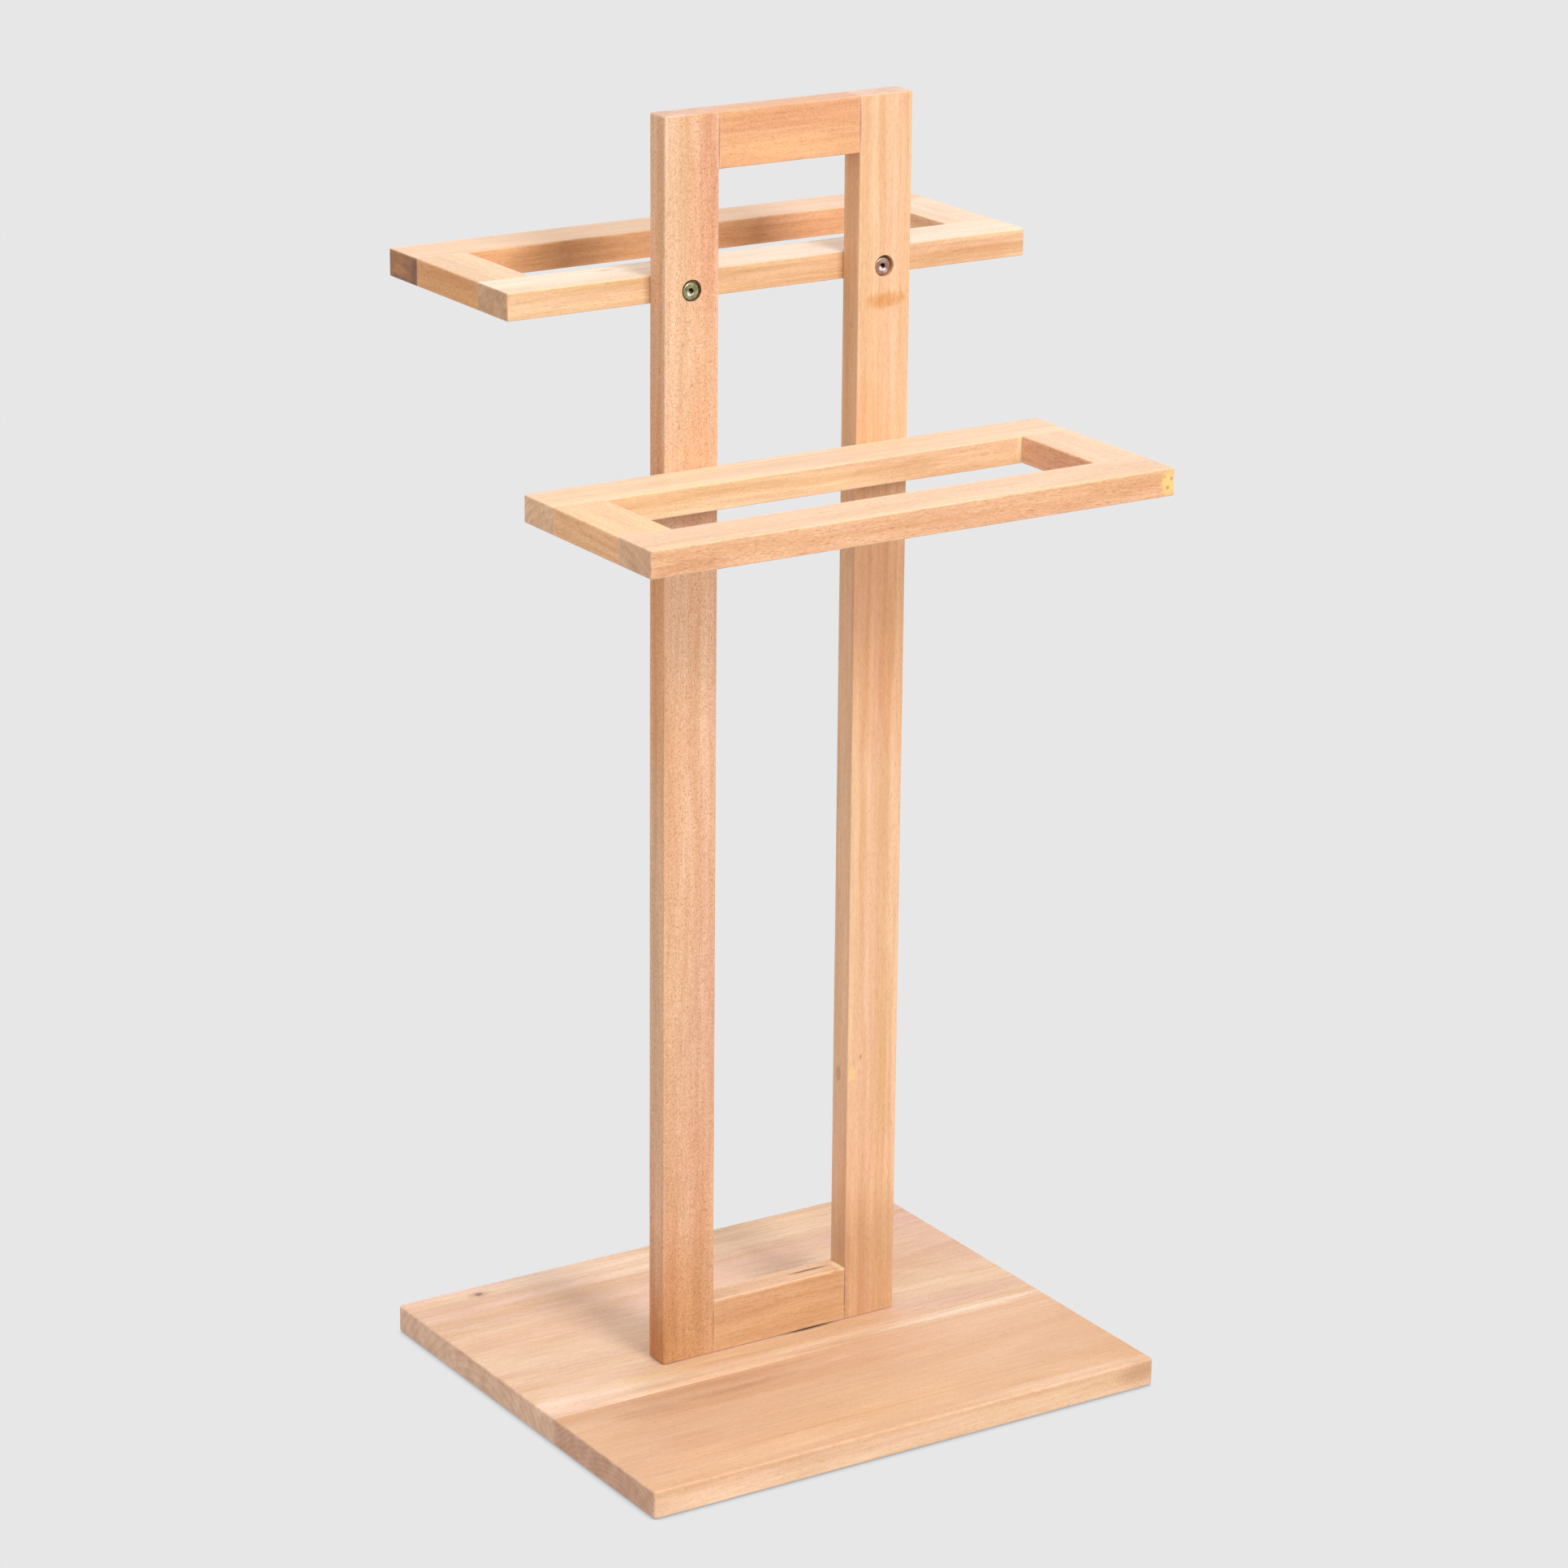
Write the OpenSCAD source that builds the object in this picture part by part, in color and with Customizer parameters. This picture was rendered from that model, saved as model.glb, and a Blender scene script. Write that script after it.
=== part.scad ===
// Freestanding towel stand in oiled hardwood: a flat base board, a slim upright
// ladder frame that stands in the middle of it, and two level towel frames bolted
// to the upright, the upper one behind it and the lower one in front.
//
// +X is to the right and +Y is to the back, seen from the front. The origin is on
// the floor, under the middle of the base board. All lengths are in millimetres.

/* [Base board] */
// Width of the base board, side to side
base_width = 400; // [320:1:600]
// Depth of the base board, front to back
base_depth = 348; // [290:1:500]
// Thickness of the base board
base_thickness = 20; // [16:0.5:30]
// Depth of the front plank, from the front edge to the glued seam
front_plank_depth = 130; // [80:1:150]
// Radius of the eased edges of the base board
base_arris = 2; // [0.5:0.1:4]

/* [Upright] */
// Height of the upright above the base board
upright_height = 860; // [830:1:1100]
// Width of the upright over both stiles
upright_width = 188; // [160:1:280]
// Thickness of the upright, front to back
upright_thickness = 19; // [16:0.5:26]
// Width of each stile, seen from the front
stile_width = 40.5; // [36:0.5:55]
// Height of the rail that joins the stiles at the top
top_rail_height = 37.5; // [32:0.5:60]
// Height of the rail that joins the stiles at the foot
bottom_rail_height = 39; // [32:0.5:60]

/* [Towel frames] */
// Width of each towel frame, side to side
frame_width = 397; // [300:1:500]
// Depth of each towel frame, out from the upright
frame_depth = 157; // [120:1:165]
// Thickness of each towel frame, top to bottom
frame_thickness = 18.7; // [16:0.1:26]
// Width of the two long bars of a towel frame, seen from above
bar_width = 38; // [30:0.5:45]
// Width of the two short end bars of a towel frame, seen from above
end_bar_width = 38; // [32:0.5:60]
// Distance from the upright's top down to the upper towel frame
upper_frame_drop = 105.3; // [50:0.1:300]
// How far the lower towel frame hangs below the upper one
frame_step = 126; // [40:1:400]
// Radius of the eased edges of the upright and the towel frames
frame_arris = 1.3; // [0.5:0.1:3]

/* [Bolts and inserts] */
// Thread diameter of the bolts
bolt_diameter = 6; // [4:0.5:8]
// Length of a bolt under its head
bolt_length = 30; // [26:1:34]
// Diameter of a bolt head
head_diameter = 12; // [10:0.5:13]
// Thickness of a bolt head
head_thickness = 2.5; // [2:0.1:4]
// Width of the bevel round a bolt head's rim
head_bevel = 0.8; // [0.3:0.1:1.5]
// Size of the hexagon socket across its flats
socket_size = 4; // [2.5:0.5:5]
// Depth of the hexagon socket
socket_depth = 3; // [1.5:0.1:4]
// Depth of a bolt head's top below the wood around it
head_recess = 2; // [0.5:0.1:4]
// Diameter of the counterbore that holds a bolt head
counterbore_diameter = 15; // [13.5:0.5:16]
// Diameter of a threaded insert over its outer ridges
insert_diameter = 10; // [9.5:0.5:12]
// Length of a threaded insert
insert_length = 15; // [10:1:18]
// Depth of an insert's outer end below the wood around it
insert_sink = 0.5; // [0:0.1:2]
// Height of the ridges that grip the wood around an insert
ridge_height = 0.6; // [0.2:0.1:0.8]
// Distance from one ridge of an insert to the next
ridge_pitch = 2.5; // [1.5:0.1:4]

/* [Dowels] */
// Diameter of the dowels
dowel_diameter = 8; // [6:0.5:10]
// Length of the dowels
dowel_length = 30; // [24:1:36]
// How far a dowel reaches into the piece whose long edge it enters
dowel_in_edge = 12; // [8:0.5:13]
// Distance between the two dowels of a joint
dowel_spacing = 18; // [14:0.5:20]
// Width of the chamfer round a dowel's ends
dowel_chamfer = 0.8; // [0.3:0.1:1.5]
// Number of glue flutes round a dowel
dowel_flutes = 8; // [4:1:12]
// Radius of a glue flute
flute_radius = 0.6; // [0.3:0.1:0.8]

/* [Clearances] */
// Gap between a bolt's shank and its hole in the wood, all round
shank_clearance = 0.25; // [0.1:0.05:0.5]
// Gap between a bolt's shank and its insert, all round
thread_clearance = 0.05; // [0.02:0.01:0.1]
// Glue gap between a dowel or an insert and its hole, all round
glue_gap = 0.05; // [0.02:0.01:0.1]
// Free depth past the end of a dowel, an insert or a bolt
end_gap = 1; // [0.5:0.1:2]

/* [Hidden] */

// How far a cutting shape runs past the surface that it cuts
over = 1;

// Segments of a full turn on the eased edges, the bores and the turned pieces
$fn = 48;

// Left and right of the middle
sides = [-1, 1];

upright_top = base_thickness + upright_height;
stile_centre = upright_width / 2 - stile_width / 2;
stile_inner_edge = upright_width / 2 - stile_width;
opening_height = upright_height - top_rail_height - bottom_rail_height;
opening_bottom = base_thickness + bottom_rail_height;
top_rail_centre = upright_top - top_rail_height / 2;
bottom_rail_centre = base_thickness + bottom_rail_height / 2;
seam_y = front_plank_depth - base_depth / 2;
end_bar_centre = frame_width / 2 - end_bar_width / 2;
upper_frame_centre = upright_top - upper_frame_drop - frame_thickness / 2;
lower_frame_centre = upper_frame_centre - frame_step;

counterbore_depth = head_recess + head_thickness;
hole_diameter = bolt_diameter + 2 * shank_clearance;
thread_diameter = bolt_diameter + 2 * thread_clearance;
insert_hole_diameter = insert_diameter + 2 * glue_gap;
dowel_hole_diameter = dowel_diameter + 2 * glue_gap;
dowel_in_end = dowel_length - dowel_in_edge;

// Wood and metal colours
base_front_tone = "#d9a27a";
base_back_tone = "#e6bd9b";
left_stile_tone = "#e3ae84";
right_stile_tone = "#ecbd8e";
rail_tone = "#dea77b";
upper_bar_tone = "#efc598";
lower_bar_tone = "#eab98a";
end_bar_tone = "#e9bb88";
dowel_tone = "#ead2ab";
bolt_tone = "#a9a373";
insert_tone = "#b9a98a";

// Shapes that the pieces share

// Rectangle with rounded corners, about the origin
module eased_rectangle(width, height, radius) {
    square([width - 2 * radius, height], center = true);
    square([width, height - 2 * radius], center = true);
    for (sx = sides, sy = sides)
        translate([sx * (width / 2 - radius), sy * (height / 2 - radius)])
            circle(r = radius);
}

// Block about the origin with every edge eased to the radius
module eased_block(size, radius) {
    intersection() {
        linear_extrude(size.z, center = true)
            eased_rectangle(size.x, size.y, radius);
        rotate([90, 0, 0])
            linear_extrude(size.y, center = true)
                eased_rectangle(size.x, size.z, radius);
        rotate([90, 0, 90])
            linear_extrude(size.x, center = true)
                eased_rectangle(size.y, size.z, radius);
    }
}

// Section of an opening through a board: it widens at both faces over the eased edges
module flared_section(width, board, radius) {
    square([width, board + 2 * over], center = true);
    for (sx = sides, sy = sides)
        scale([sx, sy])
            translate([width / 2 - over, board / 2 - radius])
                difference() {
                    square([radius + over, radius + over]);
                    translate([radius + over, 0])
                        circle(r = radius);
                }
}

// Opening through a board that lies level, to be cut out of it
module flared_opening(width, depth, board, radius) {
    intersection() {
        rotate([90, 0, 0])
            linear_extrude(depth + 2 * (radius + over), center = true)
                flared_section(width, board, radius);
        rotate([90, 0, 90])
            linear_extrude(width + 2 * (radius + over), center = true)
                flared_section(depth, board, radius);
    }
}

// Everything between two heights along Y
module slab_y(from, to) {
    reach = base_width + frame_width;
    translate([-reach, from, -reach * 2])
        cube([reach * 2, to - from, reach * 4]);
}

// Fluted dowel: the seam is at the origin and the end grain is towards +Z
module dowel() {
    radius = dowel_diameter / 2;
    body = dowel_length - 2 * dowel_chamfer;
    translate([0, 0, -dowel_in_edge])
        difference() {
            union() {
                cylinder(h = dowel_chamfer, r1 = radius - dowel_chamfer, r2 = radius);
                translate([0, 0, dowel_chamfer])
                    cylinder(h = body, r = radius);
                translate([0, 0, dowel_chamfer + body])
                    cylinder(h = dowel_chamfer, r1 = radius, r2 = radius - dowel_chamfer);
            }
            for (i = [0 : dowel_flutes - 1])
                rotate([0, 0, i * 360 / dowel_flutes])
                    translate([radius + flute_radius / 2, 0, -over])
                        cylinder(h = dowel_length + 2 * over, r = flute_radius);
        }
}

// Hole for a dowel, with room for glue at both ends
module dowel_hole() {
    translate([0, 0, -dowel_in_edge - end_gap])
        cylinder(h = dowel_length + 2 * end_gap, d = dowel_hole_diameter);
}

// Bolt with a flat bevelled head and a hexagon socket. The origin is on the wood's
// face over the head, and +Z runs into the wood.
module bolt() {
    head_radius = head_diameter / 2;
    translate([0, 0, head_recess])
        difference() {
            union() {
                cylinder(h = head_bevel, r1 = head_radius - head_bevel, r2 = head_radius);
                translate([0, 0, head_bevel])
                    cylinder(h = head_thickness - head_bevel, r = head_radius);
                translate([0, 0, head_thickness - over / 2])
                    cylinder(h = bolt_length - head_bevel + over / 2, d = bolt_diameter);
                translate([0, 0, head_thickness + bolt_length - head_bevel])
                    cylinder(h = head_bevel, d1 = bolt_diameter, d2 = bolt_diameter - 2 * head_bevel);
            }
            translate([0, 0, -over])
                linear_extrude(socket_depth + over)
                    circle(d = socket_size / cos(30), $fn = 6);
        }
}

// Counterbored hole for a bolt through a board
module bolt_hole(board) {
    translate([0, 0, -over])
        cylinder(h = counterbore_depth + over, d = counterbore_diameter);
    cylinder(h = board + over, d = hole_diameter);
}

// Threaded insert in the piece behind a board, with ridges that grip the wood
module insert(board) {
    core = insert_diameter - 2 * ridge_height;
    ridges = floor((insert_length - ridge_pitch / 2) / ridge_pitch);
    translate([0, 0, board + insert_sink])
        difference() {
            union() {
                cylinder(h = insert_length, d = core);
                cylinder(h = ridge_pitch / 2, d = insert_diameter);
                for (i = [1 : ridges])
                    translate([0, 0, i * ridge_pitch])
                        cylinder(h = ridge_pitch / 2, d1 = insert_diameter, d2 = core);
            }
            translate([0, 0, -over])
                cylinder(h = insert_length + 2 * over, d = thread_diameter);
        }
}

// Blind hole for an insert and the bolt's end, in the piece behind a board
module insert_hole(board) {
    bolt_reach = counterbore_depth + bolt_length - board;
    translate([0, 0, board - over])
        cylinder(
            h = max(insert_sink + insert_length, bolt_reach) + end_gap + over,
            d = insert_hole_diameter
        );
}

// Where the fastenings go

// On both stiles' front faces, into the upper frame
module at_upper_bolts() {
    for (side = sides)
        translate([side * stile_centre, -upright_thickness / 2, upper_frame_centre])
            rotate([-90, 0, 0])
                children();
}

// On both stiles' back faces, into the lower frame
module at_lower_bolts() {
    for (side = sides)
        translate([side * stile_centre, upright_thickness / 2, lower_frame_centre])
            rotate([90, 0, 0])
                children();
}

// Under the base board, into both stiles' feet
module at_base_bolts() {
    for (side = sides)
        translate([side * stile_centre, 0, 0])
            children();
}

// At the seams between a rail and both stiles, with end grain inwards
module at_rail_dowels(height) {
    for (side = sides, step = sides)
        translate([side * stile_inner_edge, 0, height + step * dowel_spacing / 2])
            rotate([0, -90 * side, 0])
                children();
}

// At the four seams of a towel frame, with end grain towards the end bars
module at_frame_dowels() {
    for (side = sides, step = sides)
        translate([side * end_bar_centre + step * dowel_spacing / 2, 0, 0]) {
            translate([0, bar_width, 0])
                rotate([-90, 0, 0])
                    children();
            translate([0, frame_depth - bar_width, 0])
                rotate([90, 0, 0])
                    children();
        }
}

// A towel frame is drawn with its seat on the upright at y = 0 and runs out
// towards +Y. These put it behind the upright, and in front of it.
module at_upper_frame() {
    translate([0, upright_thickness / 2, upper_frame_centre])
        children();
}

module at_lower_frame() {
    translate([0, -upright_thickness / 2, lower_frame_centre])
        mirror([0, 1, 0])
            children();
}

// Base board: two planks glued edge to edge

module base_blank() {
    difference() {
        translate([0, 0, base_thickness / 2])
            eased_block([base_width, base_depth, base_thickness], base_arris);
        at_base_bolts()
            bolt_hole(base_thickness);
    }
}

module base_plank_front() {
    color(base_front_tone)
        intersection() {
            base_blank();
            slab_y(-base_depth, seam_y);
        }
}

module base_plank_back() {
    color(base_back_tone)
        intersection() {
            base_blank();
            slab_y(seam_y, base_depth);
        }
}

// Upright: two stiles with a rail between them at the top and at the foot

module upright_blank() {
    difference() {
        translate([0, 0, base_thickness + upright_height / 2])
            eased_block([upright_width, upright_thickness, upright_height], frame_arris);
        translate([0, 0, opening_bottom + opening_height / 2])
            rotate([90, 0, 0])
                flared_opening(2 * stile_inner_edge, opening_height, upright_thickness, frame_arris);
    }
}

module stile(side) {
    difference() {
        intersection() {
            upright_blank();
            translate([side * stile_centre, 0, upright_top / 2])
                cube([stile_width, upright_thickness + over, upright_top + over], center = true);
        }
        at_rail_dowels(top_rail_centre)
            dowel_hole();
        at_rail_dowels(bottom_rail_centre)
            dowel_hole();
        at_upper_bolts()
            bolt_hole(upright_thickness);
        at_lower_bolts()
            bolt_hole(upright_thickness);
        at_base_bolts()
            insert_hole(base_thickness);
    }
}

module stile_left() {
    color(left_stile_tone)
        stile(-1);
}

module stile_right() {
    color(right_stile_tone)
        stile(1);
}

module cross_rail(centre, height) {
    difference() {
        intersection() {
            upright_blank();
            translate([0, 0, centre])
                cube([2 * stile_inner_edge, upright_thickness + over, height + over], center = true);
        }
        at_rail_dowels(centre)
            dowel_hole();
    }
}

module top_rail() {
    color(rail_tone)
        cross_rail(top_rail_centre, top_rail_height);
}

module bottom_rail() {
    color(rail_tone)
        cross_rail(bottom_rail_centre, bottom_rail_height);
}

module top_rail_dowels() {
    color(dowel_tone)
        at_rail_dowels(top_rail_centre)
            dowel();
}

module bottom_rail_dowels() {
    color(dowel_tone)
        at_rail_dowels(bottom_rail_centre)
            dowel();
}

// Towel frame: two long bars with an end bar between them at each side

module frame_blank() {
    translate([0, frame_depth / 2, 0])
        difference() {
            eased_block([frame_width, frame_depth, frame_thickness], frame_arris);
            flared_opening(
                frame_width - 2 * end_bar_width,
                frame_depth - 2 * bar_width,
                frame_thickness,
                frame_arris
            );
        }
}

// The long bar against the upright
module inner_bar() {
    difference() {
        intersection() {
            frame_blank();
            slab_y(-over, bar_width);
        }
        at_frame_dowels()
            dowel_hole();
        for (side = sides)
            translate([side * stile_centre, -upright_thickness, 0])
                rotate([-90, 0, 0])
                    insert_hole(upright_thickness);
    }
}

// The long bar that the towel hangs over
module outer_bar() {
    difference() {
        intersection() {
            frame_blank();
            slab_y(frame_depth - bar_width, frame_depth + over);
        }
        at_frame_dowels()
            dowel_hole();
    }
}

module end_bar(side) {
    length = frame_depth - 2 * bar_width;
    difference() {
        intersection() {
            frame_blank();
            translate([side * end_bar_centre, frame_depth / 2, 0])
                cube([end_bar_width + over, length, frame_thickness + over], center = true);
        }
        at_frame_dowels()
            dowel_hole();
    }
}

module upper_inner_bar() {
    color(upper_bar_tone)
        at_upper_frame()
            inner_bar();
}

module upper_outer_bar() {
    color(upper_bar_tone)
        at_upper_frame()
            outer_bar();
}

module upper_end_bar_left() {
    color(end_bar_tone)
        at_upper_frame()
            end_bar(-1);
}

module upper_end_bar_right() {
    color(end_bar_tone)
        at_upper_frame()
            end_bar(1);
}

module upper_frame_dowels() {
    color(dowel_tone)
        at_upper_frame()
            at_frame_dowels()
                dowel();
}

module lower_inner_bar() {
    color(lower_bar_tone)
        at_lower_frame()
            inner_bar();
}

module lower_outer_bar() {
    color(lower_bar_tone)
        at_lower_frame()
            outer_bar();
}

module lower_end_bar_left() {
    color(end_bar_tone)
        at_lower_frame()
            end_bar(-1);
}

module lower_end_bar_right() {
    color(end_bar_tone)
        at_lower_frame()
            end_bar(1);
}

module lower_frame_dowels() {
    color(dowel_tone)
        at_lower_frame()
            at_frame_dowels()
                dowel();
}

// Bolts and the inserts that they thread into

module upper_frame_bolts() {
    color(bolt_tone)
        at_upper_bolts()
            bolt();
}

module lower_frame_bolts() {
    color(bolt_tone)
        at_lower_bolts()
            bolt();
}

module base_bolts() {
    color(bolt_tone)
        at_base_bolts()
            bolt();
}

module upper_frame_inserts() {
    color(insert_tone)
        at_upper_bolts()
            insert(upright_thickness);
}

module lower_frame_inserts() {
    color(insert_tone)
        at_lower_bolts()
            insert(upright_thickness);
}

module base_inserts() {
    color(insert_tone)
        at_base_bolts()
            insert(base_thickness);
}

base_plank_front();
base_plank_back();
stile_left();
stile_right();
top_rail();
bottom_rail();
top_rail_dowels();
bottom_rail_dowels();
upper_inner_bar();
upper_outer_bar();
upper_end_bar_left();
upper_end_bar_right();
upper_frame_dowels();
lower_inner_bar();
lower_outer_bar();
lower_end_bar_left();
lower_end_bar_right();
lower_frame_dowels();
upper_frame_bolts();
lower_frame_bolts();
base_bolts();
upper_frame_inserts();
lower_frame_inserts();
base_inserts();
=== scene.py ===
import math
import bmesh
import bpy
from mathutils import Matrix, Vector


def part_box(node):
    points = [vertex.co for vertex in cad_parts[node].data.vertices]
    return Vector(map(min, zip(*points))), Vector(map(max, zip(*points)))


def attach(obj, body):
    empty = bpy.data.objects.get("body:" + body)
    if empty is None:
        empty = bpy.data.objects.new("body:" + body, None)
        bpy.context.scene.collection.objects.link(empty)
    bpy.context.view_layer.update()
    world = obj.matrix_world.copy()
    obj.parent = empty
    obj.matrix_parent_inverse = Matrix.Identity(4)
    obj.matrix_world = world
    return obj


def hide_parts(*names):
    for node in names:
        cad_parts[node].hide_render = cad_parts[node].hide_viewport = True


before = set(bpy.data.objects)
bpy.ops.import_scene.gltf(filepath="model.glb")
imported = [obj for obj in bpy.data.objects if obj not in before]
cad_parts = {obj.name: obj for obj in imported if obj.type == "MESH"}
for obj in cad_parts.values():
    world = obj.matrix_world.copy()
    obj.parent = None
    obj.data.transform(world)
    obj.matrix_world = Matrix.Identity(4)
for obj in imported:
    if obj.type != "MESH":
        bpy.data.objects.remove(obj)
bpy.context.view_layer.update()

# Base board: two planks of open-pored, oiled hardwood, glued edge to edge in front of the
# upright. The board is sawn square, then every edge and corner is eased with a sanding
# block, so that both planks share one softened outline and meet flush at the seam.

MM = 0.001
base_corner = 3.0 * MM
base_arris = 2.0 * MM
easing_steps = 4
loop_step = 12 * MM
seam_half = 0.03 * MM
seam_groove = 0.14 * MM
sanding_depth = 0.22 * MM
sanding_patch = 55 * MM
sharp = math.radians(60)
soft_bend = math.radians(40)
nearly_straight = 0.99
touching = 0.01 * MM
loop_snap = 1e-6
saw_snap = 1e-7
right_way = Vector((1, 0, 0))
back_way = Vector((0, 1, 0))
up_way = Vector((0, 0, 1))
ways = (right_way, back_way, up_way)


def choose(*pieces):
    """Selects these pieces and nothing else, and makes the first one active."""
    bpy.ops.object.select_all(action="DESELECT")
    for piece in pieces:
        piece.select_set(True)
    if pieces:
        bpy.context.view_layer.objects.active = pieces[0]


def block(name, low, high):
    """A square-sawn block between two corners, opened in edit mode."""
    choose()
    bpy.ops.mesh.primitive_cube_add(size=1, location=(low + high) / 2, scale=high - low)
    piece = bpy.context.object
    piece.name = name
    bpy.ops.object.transform_apply()
    bpy.ops.object.mode_set(mode="EDIT")
    return piece


def select(piece, kind, wanted):
    """Selects the edges or faces of the piece in edit mode that answer to `wanted`."""
    bpy.ops.mesh.select_mode(type=kind)
    bpy.ops.mesh.select_all(action="DESELECT")
    mesh = bmesh.from_edit_mesh(piece.data)
    for part in mesh.edges if kind == "EDGE" else mesh.faces:
        if wanted(part):
            part.select_set(True)
    bmesh.update_edit_mesh(piece.data)


def runs_along(edge, axis):
    """Whether an edge lies along an axis, 0 for X, 1 for Y or 2 for Z."""
    line = edge.verts[1].co - edge.verts[0].co
    return abs(line[axis]) > nearly_straight * line.length


def ease(piece, radius, wanted):
    """Rounds the edges that answer to `wanted`."""
    select(piece, "EDGE", wanted)
    bpy.ops.mesh.bevel(offset=radius, segments=easing_steps, profile=0.5, affect="EDGES")


def slice_across(axis, place, side=0):
    """Cuts the piece in edit mode across an axis. With a side, -1 below or 1 above, only that
    side stays, and the cut face is closed."""
    bpy.ops.mesh.select_all(action="SELECT")
    bpy.ops.mesh.bisect(
        plane_co=ways[axis] * place, plane_no=ways[axis] * (-side or 1), use_fill=side != 0,
        clear_outer=side != 0, threshold=saw_snap if side else loop_snap)


def loops(axis, low, high):
    """Adds evenly spaced edge loops across the whole piece between two places on an axis."""
    count = max(1, round((high - low) / loop_step))
    for i in range(1, count):
        slice_across(axis, low + (high - low) * i / count)


def apply_modifiers(piece):
    """Applies every modifier of the piece."""
    choose(piece)
    for modifier in list(piece.modifiers):
        bpy.ops.object.modifier_apply(modifier=modifier.name)


def sand(piece):
    """Leaves the faint hollows of hand sanding, which only ever take wood away."""
    bpy.ops.object.mode_set(mode="OBJECT")
    hollows = bpy.data.textures.new(piece.name + "_hollows", "CLOUDS")
    hollows.noise_scale = sanding_patch
    hollows.noise_depth = 1
    worn = piece.modifiers.new("sanding", "DISPLACE")
    worn.texture = hollows
    worn.texture_coords = "LOCAL"
    worn.mid_level = 1.0
    worn.strength = sanding_depth
    apply_modifiers(piece)


def saw(source, name, *cuts):
    """Cuts a piece out of a blank. Each cut is an axis, a place on it, and the side that
    stays, -1 below or 1 above. The cut faces are closed and their rims just broken."""
    choose(source)
    bpy.ops.object.duplicate()
    piece = bpy.context.object
    piece.name = name
    bpy.ops.object.mode_set(mode="EDIT")
    for axis, place, side in cuts:
        bpy.ops.mesh.select_mode(type="EDGE")
        slice_across(axis, place + side * seam_half, side)
        bpy.ops.mesh.region_to_loop()
        bpy.ops.mesh.bevel(offset=seam_groove, segments=1, affect="EDGES")
    bpy.ops.object.mode_set(mode="OBJECT")
    return piece


def cut(piece, cutter):
    """Takes the cutter's shape out of the piece."""
    away = piece.modifiers.new("cut", "BOOLEAN")
    away.operation = "DIFFERENCE"
    away.solver = "EXACT"
    away.object = cutter
    apply_modifiers(piece)
    bpy.data.objects.remove(cutter)


hole_facets = 48
half_facet = math.pi / hole_facets


def drill(piece, holes):
    """Drills round holes. Each is its start, its end, and its radius at both. A countersink is
    turned by half a facet, so that it crosses the wall of its hole cleanly."""
    for start, end, start_radius, end_radius in holes:
        line = end - start
        roll = 0.0 if start_radius == end_radius else half_facet
        turned = line.to_track_quat("Z", "Y").to_matrix() @ Matrix.Rotation(roll, 3, "Z")
        choose()
        bpy.ops.mesh.primitive_cone_add(
            vertices=hole_facets, radius1=start_radius, radius2=end_radius, depth=line.length,
            location=(start + end) / 2, rotation=turned.to_euler())
        bpy.ops.object.transform_apply()
        cut(piece, bpy.context.object)


def smooth(piece):
    """Smooths the eased edges and keeps the faces flat."""
    choose(piece)
    bpy.ops.object.shade_smooth_by_angle(angle=soft_bend)
    flat = piece.modifiers.new("flat faces", "WEIGHTED_NORMAL")
    flat.keep_sharp = True
    apply_modifiers(piece)


def node(tree, kind, inputs=None, **settings):
    """Adds a shader node, with its settings, and its inputs as values or links."""
    made = tree.nodes.new("ShaderNode" + kind)
    for name, value in settings.items():
        setattr(made, name, value)
    for socket, value in (inputs or {}).items():
        if isinstance(value, bpy.types.NodeSocket):
            tree.links.new(value, made.inputs[socket])
        else:
            made.inputs[socket].default_value = value
    return made


def reckon(tree, operation, *values, clamp=False):
    """A Math node's result."""
    made = node(tree, "Math", dict(enumerate(values)), operation=operation, use_clamp=clamp)
    return made.outputs[0]


def times(tree, first, second):
    """Two values multiplied."""
    return reckon(tree, "MULTIPLY", first, second)


def vector(tree, operation, *values):
    """A Vector Math node's result."""
    made = node(tree, "VectorMath", dict(enumerate(values)), operation=operation)
    return made.outputs["Value" if operation in ("LENGTH", "DOT_PRODUCT") else "Vector"]


def in_cells(tree, place, cell):
    """A place counted in cells of a given size along its three axes."""
    return vector(tree, "MULTIPLY", place, [1 / side for side in cell])


def cloud(tree, place, detail=2.0, roughness=0.5, cell=None, colour=False):
    """Noise at a place, in cells of a given size, or one cell for each unit."""
    if cell:
        place = in_cells(tree, place, cell)
    made = node(tree, "TexNoise", {
        "Vector": place, "Scale": 1.0, "Detail": detail, "Roughness": roughness})
    return made.outputs["Color" if colour else "Fac"]


def rise(tree, value, low, high, to_low=0.0, to_high=1.0):
    """A smooth step of a value between two limits."""
    made = node(tree, "MapRange", {
        "Value": value, "From Min": low, "From Max": high, "To Min": to_low, "To Max": to_high},
        interpolation_type="SMOOTHSTEP")
    return made.outputs["Result"]


def tint(tree, share, under, over, blend="MIX"):
    """One tone over another by a share. A tone is red, green and blue, or a link."""
    under, over = [
        tone if isinstance(tone, bpy.types.NodeSocket) else (*tone, 1.0) for tone in (under, over)]
    made = node(tree, "Mix", {0: share, 6: under, 7: over}, data_type="RGBA", blend_type=blend)
    return made.outputs[2]


def new_group(name, inputs, outputs):
    """A shader node group with its sockets, and the nodes at both of its ends."""
    tree = bpy.data.node_groups.new(name, "ShaderNodeTree")
    kinds = {"v": "NodeSocketVector", "f": "NodeSocketFloat", "c": "NodeSocketColor"}
    for in_out, sockets in (("INPUT", inputs), ("OUTPUT", outputs)):
        for label, kind in sockets:
            tree.interface.new_socket(label, in_out=in_out, socket_type=kinds[kind])
    return tree, tree.nodes.new("NodeGroupInput").outputs, tree.nodes.new("NodeGroupOutput").inputs


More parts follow.
